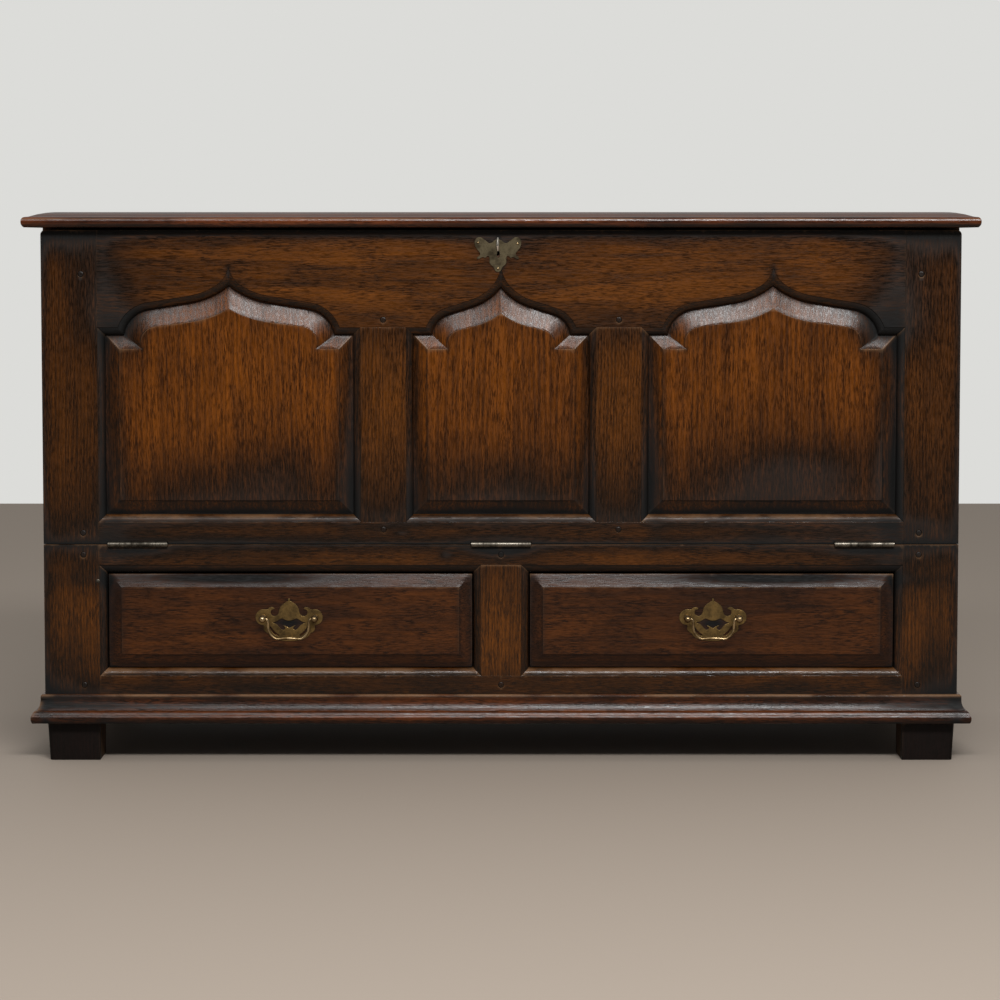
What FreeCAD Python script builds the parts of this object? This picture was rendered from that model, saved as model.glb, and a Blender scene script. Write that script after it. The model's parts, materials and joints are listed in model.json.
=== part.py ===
import FreeCAD, Part
import math
import os

# Mule chest in oak: panelled fall front over two drawers, hinged lid, block feet.
# Millimetres. X to the right, +Z up, the front faces -Y. While modelling, y = 0 is the
# front face of the carcass; save() moves each node so that the whole chest is centred.

V = FreeCAD.Vector
os.makedirs("parts", exist_ok=True)

# ---------------------------------------------------------------- driving sizes
# overall
carcass_width = 1340.0
carcass_depth = 520.0
carcass_top = 781.9
fall_top_gap = 3.4            # the fall stops this far below the carcass's top
lower_rail_height = 79.2      # from the feet to the drawer openings
drawer_opening_height = 141.8
upper_rail_height = 41.5      # from the drawer openings to the hinge line
rest_gap = 0.3                # air between pieces that rest on each other but move apart

# framed fronts and ends
stile_flat = 81.0             # plain face of a stile, without its moulding
fall_muntin_flat = 66.0
divider_flat = 59.0
moulding_width = 11.0
moulding_depth = 9.5
moulding_fillet = 1.5         # square step at the outer edge of the moulding
moulding_fillet_run = 0.8
moulding_steps = 4
front_thickness = 25.0
end_thickness = 24.0
fall_joint_gap = 1.0          # between the fall and the rail below it
fall_bottom_rail_flat = 32.0
fall_top_rail_width = 152.5   # top rail beside the arches
centre_opening_width = 256.0
fall_corner_radius = 7.0

# arches under the top rail: height, half width at the shoulders and the two radii
side_arch_rise = 71.0
side_arch_half_width = 153.3
side_arch_concave_radius = 124.0
side_arch_concave_centre = 76.8
side_arch_convex_radius = 43.7
side_arch_convex_drop = 6.6
centre_arch_rise = 68.5
centre_arch_half_width = 101.0
centre_arch_concave_radius = 88.6
centre_arch_concave_centre = 68.6
centre_arch_convex_radius = 35.0
centre_arch_convex_drop = 4.4

# panels
groove_depth = 8.5
groove_front = 11.0
groove_width = 6.3
groove_clearance = 0.15
panel_edge_clearance = 0.8
panel_bevel = 20.5
panel_arch_bevel = 27.0
field_convex_radius = 24.0    # least radius of the raised field's round shoulders
panel_field_depth = 2.5       # how far the raised field lies behind the frame's face
panel_field_step = 1.2
bevel_foot_clearance = 0.6    # the bevel ends this far inside the opening

# drawers
drawer_side_gap = 2.0
drawer_top_gap = 3.0
drawer_bottom_gap = 1.5
drawer_front_thickness = 24.0
drawer_field_depth = 2.0
drawer_edge_depth = 8.5
drawer_bevel = 19.0
drawer_field_step = 1.0
drawer_stop_gap = 2.0         # between the drawer's end and the back rail that stops it
drawer_side_drop = 13.8       # sides lower than the opening
drawer_side_thickness = 12.0
drawer_back_drop = 12.0       # the back stands this much lower than the sides
drawer_bottom_thickness = 8.0
drawer_bottom_lift = 10.0
drawer_bottom_groove = 6.0
tail_count = 4
tail_margin = 8.0
tail_lap = 15.0
tail_share = 0.5              # a tail's root as a share of its pitch
tail_flare = 3.0

# carcass behind the front
upright_width = 55.0
upright_depth = 34.0
rear_post_depth = 45.0
end_top_rail_width = 81.9
back_rail_thickness = 22.0
back_board_thickness = 12.0
back_board_count = 6
back_board_gap = 1.0
back_top_rail_height = 60.0
back_middle_rail_height = 50.0
back_bottom_rail_height = 60.0
floor_lip = 13.2              # the rail's top stands this much above the floor
floor_thickness = 12.0
floor_board_count = 4
floor_board_gap = 0.8
bearer_height = 20.0
bearer_width = 35.0
runner_height = 20.0
runner_ledge = 20.0
guide_height = 24.0

# joints of the frame
tenon_front = 7.5
tenon_thickness = 8.0
stile_tenon_length = 46.0
muntin_tenon_length = 22.0
tenon_shoulder = 7.0
peg_radius = 4.4
peg_clearance = 0.06
peg_proud = 0.4
peg_length = 20.0
stile_peg_share = 0.42        # of the top rail, from the fall's top down to the arches' shoulder

# base moulding and feet
foot_height = 57.2
foot_width = 77.0
foot_depth = 75.0
foot_inset = 2.5
foot_taper = 2.8
foot_corner_radius = 6.0
base_moulding_height = 41.5
base_moulding_reach = 19.5
base_step_reach = 6.0
base_step_height = 7.5        # how far below the moulding's top the cove starts
base_cove_foot_reach = 11.0
base_cove_foot_height = 18.5  # above the moulding's bottom
base_nose_height = 8.0        # above the moulding's bottom
base_nose_share = 0.25        # of the nose's height, its rounding under the bottom edge
base_nose_ease = 0.05         # of the nose's height, how far its middle stands back
base_ovolo_in = 0.25          # middle of the ovolo, from its foot's reach to its head's
base_ovolo_down = 0.3         # and from its head's height to its foot's
base_cove_in = 0.7            # middle of the cove, from its foot's reach to its head's
base_cove_up = 0.45           # and from its foot's height to its head's
base_step_ease = 0.3          # of the step's height, taken off its top corner

# lid
lid_thickness = 22.4
lid_overhang = 25.0
lid_edge_run = 50.0
lid_edge_drop = 10.8
lid_nose_radius = 5.5
lid_nose_run = 0.7            # of the nose's radius, how far in it meets the underside
lid_nose_lean = 0.12          # of the nose's radius, how far in its top stands
lid_curve_in = 0.45           # middle of the shallow curve, as a share of its run
lid_curve_down = 0.28         # and of its drop
lid_board_count = 3
cleat_width = 40.0
cleat_height = 22.0
cleat_inset = 12.0            # from the uprights' inner faces
cleat_end_gap = 40.0          # from the back rails and from the fall

# butt hinges
hinge_length = 87.0
hinge_radius = 4.3
hinge_proud = 2.5             # the pin's centre in front of the face
hinge_pin_radius = 1.75
pin_clearance = 0.05
knuckle_count = 5
knuckle_gap = 0.4
leaf_thickness = 2.0
leaf_depth = 22.0
gutter_clearance = 0.4
fall_hinge_offset = 532.0     # centres of the outer hinges from the middle
lid_hinge_offset = 430.0

# quadrant stays of the fall
stay_radius = 230.0
stay_width = 12.0
stay_thickness = 4.0
stay_inset = 12.0             # from the upright's inner face
stay_slot_clearance = 0.5
stay_foot_height = 44.0
stay_foot_width = 24.0
stay_foot_thickness = 3.0
guide_depth = 12.0
guide_tall = 30.0
guide_wall = 4.0
stay_overrun = 1.5            # degrees of the stay left in its guide when the fall is down
guide_set_back = 4.0          # behind the upright's front face

# chest lock and escutcheon
escutcheon_width = 68.0
escutcheon_height = 51.0
escutcheon_centre_x = -4.5
escutcheon_drop = 10.0        # below the fall's top
wing_radius = 8.0
wing_drop = 9.5               # centres of the upper wings below the plate's top
wing_shoulder_share = 0.5     # of the wing's radius, its outer point below its centre
wing_foot_drop = 24.0
ear_radius = 3.4
ear_x = 25.0
ear_drop = 30.0
waist_x = 17.5
waist_drop = 31.5
chin_x = 10.5
chin_drop = 41.0
chin_radius = 4.0
scallop_radius = 7.0
scallop_x = 12.0
scallop_depth = 4.5
plate_thickness = 1.6
keyhole_radius = 4.0
keyhole_slot_width = 4.4
keyhole_height = 24.0
keyhole_drop = 4.0            # below the escutcheon's top
lock_width = 96.0
lock_height = 56.0
lock_thickness = 12.0

# drawer handles
handle_spacing = 76.0
handle_centre_x = 311.0
handle_rise = 74.7            # pins above the drawer opening's bottom
handle_plate_width = 99.0
handle_plate_rise = 28.7      # plate's top above the pins
handle_plate_drop = 34.0      # plate's bottom below the pins
plate_lobe_radius = 10.7      # round ends behind the posts
plate_dome_half_width = 14.3
plate_dome_shoulder = 10.5    # the dome's half width at its upper shoulder
plate_dome_shoulder_drop = 9.5
plate_dome_foot_drop = 18.0
plate_bud_radius = 2.2
plate_bud_depth = 2.5
scroll_radius = 5.0           # round notches between the crest and the lobes
scroll_x = 22.5
scroll_drop = 19.5            # below the plate's top
plate_skirt_x = 35.0
plate_skirt_drop = 15.0       # below the pins
plate_belly_x = 24.0
plate_belly_rise = 6.0
lens_half_width = 23.0        # the piercing over the belly
lens_rise = 3.6
lens_fall = 5.6
handle_reach = 17.0           # pivot centre in front of the carcass face
post_head_radius = 6.0
post_neck_radius = 3.8
post_collar_radius = 6.5
post_collar_height = 4.0
post_shank_radius = 2.5
shank_clearance = 0.1
nut_size = 10.0
nut_thickness = 3.5
bail_drop = 29.0
bail_inset = 9.0              # bail's uprights inside the posts' centres
bail_pin_overlap = 1.5        # the pins run this far past the posts' centres
bail_end_clearance = 0.5
bail_radius = 2.6
bail_grip_radius = 3.4
bail_taper_share = 1.5        # of the grip's radius, how long its ends taper
bail_pin_radius = 2.0
bail_corner_radius = 9.0

# ---------------------------------------------------------------- worked out
half_width = carcass_width / 2
diagonal = math.sqrt(1 / 2)     # of a radius, its reach at 45 degrees
stile_width = stile_flat + moulding_width
opening_half_span = half_width - stile_width
fall_top = carcass_top - fall_top_gap
fall_shoulder_height = fall_top - fall_top_rail_width
drawer_opening_bottom = foot_height + lower_rail_height
drawer_opening_top = drawer_opening_bottom + drawer_opening_height
drawer_side_height = drawer_opening_height - drawer_side_drop
hinge_line = drawer_opening_top + upper_rail_height
fall_bottom = hinge_line + fall_joint_gap / 2
lower_front_top = hinge_line - fall_joint_gap / 2
fall_opening_bottom = fall_bottom + fall_bottom_rail_flat + moulding_width
fall_muntin_width = fall_muntin_flat + 2 * moulding_width
divider_half = divider_flat / 2 + moulding_width
end_top_rail_bottom = carcass_top - end_top_rail_width
floor_top = lower_front_top - floor_lip
escutcheon_top = fall_top - escutcheon_drop
handle_height = drawer_opening_bottom + handle_rise
handle_plate_top = handle_height + handle_plate_rise
upright_front = front_thickness + rest_gap
upright_inner = half_width - upright_width
rear_post_front = carcass_depth - rear_post_depth
end_inner = half_width - end_thickness
lid_bottom = carcass_top + rest_gap
lid_top = lid_bottom + lid_thickness
base_moulding_top = foot_height + base_moulding_height
pivot_y = -handle_reach
hinge_gutter = hinge_radius + gutter_clearance
back_reach = carcass_depth + hinge_proud + hinge_radius
front_reach = max(lid_overhang, handle_reach + post_head_radius, base_moulding_reach)
centring = (front_reach - back_reach) / 2
slack = 1.0                   # how far a cutter runs past the face that it cuts


# ---------------------------------------------------------------- helpers
def save(node, *solids):
    shape = solids[0] if len(solids) == 1 else Part.makeCompound(list(solids))
    shape = shape.copy()
    shape.translate(V(0, centring, 0))
    shape.exportStep("parts/" + node + ".step")


def box(x0, x1, y0, y1, z0, z1):
    return Part.makeBox(x1 - x0, y1 - y0, z1 - z0, V(x0, y0, z0))


def cylinder_y(radius, x, z, y0, y1):
    return Part.makeCylinder(radius, y1 - y0, V(x, y0, z), V(0, 1, 0))


def cylinder_x(radius, x0, x1, y, z):
    return Part.makeCylinder(radius, x1 - x0, V(x0, y, z), V(1, 0, 0))


def polygon_face(points):
    return Part.Face(Part.makePolygon(points + [points[0]]))


def prism_y(outline, y0, y1):
    # outline: (x, z) points
    face = polygon_face([V(x, y0, z) for x, z in outline])
    return face.extrude(V(0, y1 - y0, 0))


def prism_x(outline, x0, x1):
    # outline: (y, z) points
    face = polygon_face([V(x0, y, z) for y, z in outline])
    return face.extrude(V(x1 - x0, 0, 0))


def mirrored(shape):
    return shape.mirror(V(0, 0, 0), V(1, 0, 0))


def one_solid(shape):
    return shape.removeSplitter().Solids[0]


def fused(*shapes):
    return one_solid(shapes[0].fuse(list(shapes[1:])))


def arc_between(centre, start, end):
    # the shorter arc about a centre, all three as (x, z) points at y = 0
    radius = math.dist(centre, start)
    middle_x = start[0] + end[0] - 2 * centre[0]
    middle_z = start[1] + end[1] - 2 * centre[1]
    length = math.hypot(middle_x, middle_z)
    middle = (centre[0] + radius * middle_x / length, centre[1] + radius * middle_z / length)
    return Part.Arc(V(start[0], 0, start[1]), V(middle[0], 0, middle[1]), V(end[0], 0, end[1])).toShape()


def line_between(start, end):
    return Part.makeLine(V(start[0], 0, start[1]), V(end[0], 0, end[1]))


def bent_face(start, steps, placed):
    # steps: an end point for a straight, or a point on the way and an end point for an arc
    edges = []
    current = start
    closing = [] if isinstance(steps[-1][0], tuple) and steps[-1][1] == start else [start]
    for step in steps + closing:
        if isinstance(step[0], tuple):
            through, end = step
            edges.append(Part.Arc(placed(current), placed(through), placed(end)).toShape())
        else:
            end = step
            edges.append(Part.makeLine(placed(current), placed(end)))
        current = end
    return Part.Face(Part.Wire(edges))


# ---------------------------------------------------------------- openings and mouldings
def rectangle_opening(left, right, bottom, top):
    return {"left": left, "right": right, "bottom": bottom, "top": top, "arch": None}


def arched_opening(left, right, bottom, shoulder, arch):
    return {"left": left, "right": right, "bottom": bottom, "top": shoulder, "arch": arch}


def make_arch(rise, half, concave_radius, concave_centre, convex_radius, drop):
    # centres of the two arcs of the right half, from the shoulder's level at the middle
    concave_height = rise + math.sqrt(concave_radius ** 2 - concave_centre ** 2)
    convex_centre = half - math.sqrt(convex_radius ** 2 - drop ** 2)
    return {"concave": (concave_centre, concave_height), "concave_radius": concave_radius,
            "convex": (convex_centre, -drop), "convex_radius": convex_radius}


def arch_edges(opening, shoulder_offset, arch_offset):
    # edges from the right shoulder over the cusp to the left shoulder
    arch = opening["arch"]
    middle_x = (opening["left"] + opening["right"]) / 2
    level = opening["top"]
    concave_x, concave_z = arch["concave"]
    convex_x, convex_z = arch["convex"]
    concave_radius = arch["concave_radius"] - arch_offset
    convex_radius = max(arch["convex_radius"] + arch_offset, field_convex_radius)
    # an arc that would get too tight is eased: it keeps its place at 45 degrees
    easing = (convex_radius - arch["convex_radius"] - arch_offset) * diagonal
    convex_x, convex_z = convex_x - easing, convex_z - easing
    # unit normal of the straight that is tangent to both arcs
    across = concave_x - convex_x
    up = concave_z - convex_z
    reach = math.hypot(across, up)
    lean = math.atan2(across, up) + math.acos((concave_radius + convex_radius) / reach)
    normal = (math.sin(lean), math.cos(lean))
    foot_rise = shoulder_offset - convex_z
    foot = (convex_x + math.sqrt(convex_radius ** 2 - foot_rise ** 2), shoulder_offset)
    low_tangent = (convex_x + convex_radius * normal[0], convex_z + convex_radius * normal[1])
    high_tangent = (concave_x - concave_radius * normal[0], concave_z - concave_radius * normal[1])
    cusp = (0.0, concave_z - math.sqrt(concave_radius ** 2 - concave_x ** 2))

    def placed(point, side):
        return (middle_x + side * point[0], level + point[1])

    def half(side):
        return [arc_between(placed((convex_x, convex_z), side), placed(foot, side), placed(low_tangent, side)),
                line_between(placed(low_tangent, side), placed(high_tangent, side)),
                arc_between(placed(arch["concave"], side), placed(high_tangent, side), placed(cusp, side))]

    return half(1) + list(reversed(half(-1))), placed(foot, 1), placed(foot, -1)


def opening_wire(opening, offset, y, arch_offset=None):
    # the opening's outline, grown by an offset, at a depth y
    if arch_offset is None:
        arch_offset = offset
    left = opening["left"] - offset
    right = opening["right"] + offset
    bottom = opening["bottom"] - offset
    top = opening["top"] + offset
    edges = [line_between((left, bottom), (right, bottom)), line_between((right, bottom), (right, top))]
    if opening["arch"] is None:
        edges.append(line_between((right, top), (left, top)))
    else:
        arch, right_foot, left_foot = arch_edges(opening, offset, arch_offset)
        edges.append(line_between((right, top), right_foot))
        edges += arch
        edges.append(line_between(left_foot, (left, top)))
    edges.append(line_between((left, top), (left, bottom)))
    wire = Part.Wire(Part.__sortEdges__(edges))
    wire.translate(V(0, y, 0))
    return wire


def opening_prism(opening, offset, y0, y1, arch_offset=None):
    face = Part.Face(opening_wire(opening, offset, y0, arch_offset))
    return face.extrude(V(0, y1 - y0, 0))


def opening_frustum(opening, offset0, y0, offset1, y1, arch_offset0=None, arch_offset1=None):
    wires = [opening_wire(opening, offset0, y0, arch_offset0),
             opening_wire(opening, offset1, y1, arch_offset1)]
    return Part.makeLoft(wires, True, True)


def moulding_section():
    # (offset from the opening's edge, depth) of the quarter round, from outside in
    width = moulding_width - moulding_fillet_run
    height = moulding_depth - moulding_fillet
    section = []
    for step in range(moulding_steps + 1):
        turn = math.radians(90.0 * step / moulding_steps)
        section.append((width * (1 - math.sin(turn)), moulding_fillet + height * (1 - math.cos(turn))))
    return section


def moulded_hole(opening, thickness, grooved):
    cutters = [opening_prism(opening, moulding_width, -slack, moulding_fillet)]
    section = moulding_section()
    for outer, inner in zip(section, section[1:]):
        cutters.append(opening_frustum(opening, outer[0], outer[1], inner[0], inner[1]))
    cutters.append(opening_prism(opening, 0.0, moulding_depth, thickness + slack))
    if grooved:
        cutters.append(opening_prism(opening, groove_depth, groove_front, groove_front + groove_width))
    return cutters


def stile_region(outer, bottom, top, openings, side):
    # outline of a stile whose moulded edge meets the rails' mouldings in mitres;
    # side is +1 where the openings lie to its right
    edge_name = "left" if side > 0 else "right"
    points = [(outer, bottom)]
    edge = openings[0][edge_name]
    flat = edge - side * moulding_width
    points.append((flat, bottom))
    for opening in openings:
        points += [(flat, opening["bottom"] - moulding_width), (edge, opening["bottom"]),
                   (edge, opening["top"]), (flat, opening["top"] + moulding_width)]
    points += [(flat, top), (outer, top)]
    return points


def muntin_region(first, second):
    return [(first["right"], first["bottom"]),
            (first["right"] + moulding_width, first["bottom"] - moulding_width),
            (second["left"] - moulding_width, second["bottom"] - moulding_width),
            (second["left"], second["bottom"]),
            (second["left"], second["top"]),
            (second["left"] - moulding_width, second["top"] + moulding_width),
            (first["right"] + moulding_width, first["top"] + moulding_width),
            (first["right"], first["top"])]


def split_frame(blank, thickness, regions):
    # cuts the members' regions out of a frame; what is left are its rails, lowest first
    members = []
    for region in regions:
        zone = prism_y(region, -slack, thickness + slack)
        members.append(one_solid(blank.common(zone)))
    rest = blank.cut(members)
    rails = sorted(rest.Solids, key=lambda solid: solid.CenterOfMass.z)
    return members, rails


def tenon_joint(rail, post, x0, x1, z0, z1):
    tenon = box(x0, x1, tenon_front, tenon_front + tenon_thickness, z0, z1)
    return fused(rail, tenon), one_solid(post.cut(tenon))


def fielded_panel(opening):
    tongue_front = groove_front + groove_clearance
    tongue_back = groove_front + groove_width - groove_clearance
    field_edge = panel_field_depth + panel_field_step
    arched = -panel_arch_bevel if opening["arch"] else -panel_bevel
    foot = -bevel_foot_clearance
    tongue = opening_prism(opening, groove_depth - panel_edge_clearance, tongue_front, tongue_back)
    bevel = opening_frustum(opening, foot, tongue_front, -panel_bevel, field_edge, foot, arched)
    field = opening_prism(opening, -panel_bevel, panel_field_depth, field_edge, arched)
    return fused(tongue, bevel, field)


def peg(x, z):
    return cylinder_y(peg_radius, x, z, -peg_proud, peg_length)


def peg_hole(x, z):
    return cylinder_y(peg_radius + peg_clearance, x, z, -slack, peg_length)


# ---------------------------------------------------------------- butt hinges
def butt_hinge(gap, direction):
    # pin along X at the origin; leaves run towards direction * Y, one below, one above
    lower_knuckles = []
    upper_knuckles = []
    pitch = hinge_length / knuckle_count
    for index in range(knuckle_count):
        start = -hinge_length / 2 + index * pitch + (knuckle_gap / 2 if index else 0)
        end = -hinge_length / 2 + (index + 1) * pitch
        end -= knuckle_gap / 2 if index < knuckle_count - 1 else 0
        knuckle = cylinder_x(hinge_radius, start, end, 0, 0)
        (upper_knuckles if index % 2 else lower_knuckles).append((knuckle, start, end))

    def leaf(knuckles, side):
        near = gap / 2 * side
        far = (gap / 2 + leaf_thickness) * side
        z0, z1 = min(near, far), max(near, far)
        start = hinge_gutter
        y0, y1 = sorted((direction * start, direction * (hinge_proud + leaf_depth)))
        shapes = [box(-hinge_length / 2, hinge_length / 2, y0, y1, z0, z1)]
        for knuckle, x0, x1 in knuckles:
            tab0, tab1 = sorted((0.0, direction * (start + slack)))
            shapes += [knuckle, box(x0, x1, tab0, tab1, z0, z1)]
        bore = cylinder_x(hinge_pin_radius + pin_clearance, -hinge_length, hinge_length, 0, 0)
        return one_solid(fused(*shapes).cut(bore))

    pin = cylinder_x(hinge_pin_radius, -hinge_length / 2, hinge_length / 2, 0, 0)
    return leaf(lower_knuckles, -1), leaf(upper_knuckles, 1), pin


def hinge_room(x, y, z, gap, direction, side):
    # what a hinge takes from the wood on its lower (-1) or upper (+1) side
    half = hinge_length / 2
    y0, y1 = sorted((y, y + direction * (hinge_proud + leaf_depth)))
    near = z + side * gap / 2
    far = z + side * (gap / 2 + leaf_thickness)
    recess = box(x - half, x + half, y0, y1, min(near, far), max(near, far))
    gutter = cylinder_x(hinge_gutter, x - half - slack, x + half + slack, y, z)
    return [recess, gutter]


def place(shape, x, y, z):
    shape = shape.copy()
    shape.translate(V(x, y, z))
    return shape


# ---------------------------------------------------------------- fall front
def make_fall_openings():
    side_arch = make_arch(side_arch_rise, side_arch_half_width, side_arch_concave_radius,
                          side_arch_concave_centre, side_arch_convex_radius, side_arch_convex_drop)
    centre_arch = make_arch(centre_arch_rise, centre_arch_half_width, centre_arch_concave_radius,
                            centre_arch_concave_centre, centre_arch_convex_radius, centre_arch_convex_drop)
    centre_half = centre_opening_width / 2
    side_inner = centre_half + fall_muntin_width
    bottom, shoulder = fall_opening_bottom, fall_shoulder_height
    return [arched_opening(-opening_half_span, -side_inner, bottom, shoulder, side_arch),
            arched_opening(-centre_half, centre_half, bottom, shoulder, centre_arch),
            arched_opening(side_inner, opening_half_span, bottom, shoulder, side_arch)]


def keyhole(y0, y1):
    # round head over a parallel slot, both rounded
    top = escutcheon_top - keyhole_drop - keyhole_radius
    foot = escutcheon_top - keyhole_drop - keyhole_height + keyhole_slot_width / 2
    half = keyhole_slot_width / 2
    head = cylinder_y(keyhole_radius, escutcheon_centre_x, top, y0, y1)
    slot = box(escutcheon_centre_x - half, escutcheon_centre_x + half, y0, y1, foot, top)
    return fused(head, slot, cylinder_y(half, escutcheon_centre_x, foot, y0, y1))


def face_plate(start, steps, centre_x, y0, y1):
    # a flat plate on the front, its outline drawn from its own middle
    face = bent_face(start, steps, lambda point: V(centre_x + point[0], y0, point[1]))
    return face.extrude(V(0, y1 - y0, 0))


def make_escutcheon():
    # two round wings joined by a scalloped top, ears below them, and a body that tapers to a chin
    middle = escutcheon_centre_x
    top = escutcheon_top
    low = top - escutcheon_height
    y0, y1 = -plate_thickness, 0.0
    wing_x = escutcheon_width / 2 - wing_radius
    shoulder_x = wing_x + wing_radius * diagonal
    shoulder_z = top - wing_drop - wing_radius * wing_shoulder_share
    body = face_plate((-wing_x, top - scallop_depth / 2),
                      [(-shoulder_x, shoulder_z),
                       (-ear_x, top - wing_foot_drop), (-ear_x, top - ear_drop),
                       (-waist_x, top - waist_drop), (-chin_x, top - chin_drop),
                       (-chin_radius, low + chin_radius), (chin_radius, low + chin_radius),
                       (chin_x, top - chin_drop), (waist_x, top - waist_drop),
                       (ear_x, top - ear_drop), (ear_x, top - wing_foot_drop),
                       (shoulder_x, shoulder_z),
                       (wing_x, top - scallop_depth / 2)], middle, y0, y1)
    rounds = [cylinder_y(chin_radius, middle, low + chin_radius, y0, y1)]
    scallops = []
    for side in (-1, 1):
        rounds.append(cylinder_y(wing_radius, middle + side * wing_x, top - wing_radius, y0, y1))
        rounds.append(cylinder_y(ear_radius, middle + side * ear_x, top - ear_drop, y0, y1))
        scallops.append(cylinder_y(scallop_radius, middle + side * scallop_x,
                                   top - scallop_depth + scallop_radius, y0 - slack, y1 + slack))
    plate = fused(body, *rounds)
    return one_solid(plate.cut([keyhole(y0 - slack, slack)] + scallops))


def make_chest_lock():
    # iron lock with a cap plate, on the back of the top rail behind the keyhole
    middle = escutcheon_centre_x
    centre_z = escutcheon_top - escutcheon_height / 2
    back = front_thickness
    case = box(middle - lock_width / 2, middle + lock_width / 2, back - lock_thickness, back,
               centre_z - lock_height / 2, centre_z + lock_height / 2)
    return case, one_solid(case.cut(keyhole(0, back + slack)))


def stay_ring(radius0, radius1, x0, x1):
    ring = cylinder_x(radius1, x0, x1, -hinge_proud, hinge_line)
    return ring.cut(cylinder_x(radius0, x0 - slack, x1 + slack, -hinge_proud, hinge_line))


def stay_slot(side):
    # the room that a stay sweeps, with clearance all round
    centre_x = side * (upright_inner - stay_inset)
    clearance = stay_slot_clearance
    reach = stay_thickness / 2 + clearance
    inner, outer = stay_radius - stay_width / 2 - clearance, stay_radius + stay_width / 2 + clearance
    return stay_ring(inner, outer, centre_x - reach, centre_x + reach)


def make_stay(side):
    # a quarter of a ring about the hinge pin, with a foot screwed to the back of the fall
    centre_x = side * (upright_inner - stay_inset)
    half = stay_thickness / 2
    inner, outer = stay_radius - stay_width / 2, stay_radius + stay_width / 2
    ring = stay_ring(inner, outer, centre_x - half, centre_x + half)
    guide_y = upright_front + guide_set_back + guide_depth / 2 + hinge_proud
    guide_angle = math.asin(guide_y / stay_radius)
    end_angle = math.pi / 2 + guide_angle + math.radians(stay_overrun)
    reach = 2 * stay_radius
    # the part of the ring between the back of the fall and the end of the quadrant
    end_y = -hinge_proud + reach * math.sin(end_angle)
    end_z = hinge_line + reach * math.cos(end_angle)
    sector = prism_x([(front_thickness, hinge_line), (front_thickness, hinge_line + reach),
                      (end_y, hinge_line + reach), (end_y, end_z)], centre_x - stay_width, centre_x + stay_width)
    arc = one_solid(ring.common(sector))
    foot_z = hinge_line + math.sqrt(stay_radius ** 2 - (front_thickness + hinge_proud) ** 2)
    foot = box(centre_x - stay_foot_width / 2, centre_x + stay_foot_width / 2,
               front_thickness, front_thickness + stay_foot_thickness,
               foot_z - stay_foot_height / 2, foot_z + stay_foot_height / 2)
    return fused(arc, foot)


def make_stay_guide(side):
    # a slotted block on the upright, round the stay
    centre_x = side * (upright_inner - stay_inset)
    reach = stay_thickness / 2 + stay_slot_clearance
    y0 = upright_front + guide_set_back
    middle_z = hinge_line + math.sqrt(stay_radius ** 2 - (y0 + guide_depth / 2 + hinge_proud) ** 2)
    x0, x1 = sorted((side * upright_inner, centre_x - side * (reach + guide_wall)))
    block = box(x0, x1, y0, y0 + guide_depth, middle_z - guide_tall / 2, middle_z + guide_tall / 2)
    return one_solid(block.cut(stay_slot(side)))


def fall_peg_places():
    top_z = fall_top - stile_peg_share * (fall_top - fall_shoulder_height)
    bottom_z = fall_bottom + fall_bottom_rail_flat / 2
    muntin_x = centre_opening_width / 2 + fall_muntin_width / 2
    muntin_top_z = fall_shoulder_height + moulding_width + muntin_tenon_length / 2
    stile_x = half_width - stile_flat + stile_tenon_length / 2
    places = []
    for side in (-1, 1):
        places += [(side * stile_x, top_z), (side * stile_x, bottom_z),
                   (side * muntin_x, muntin_top_z),
                   (side * muntin_x, fall_opening_bottom - moulding_width - muntin_tenon_length / 2)]
    return places


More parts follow.
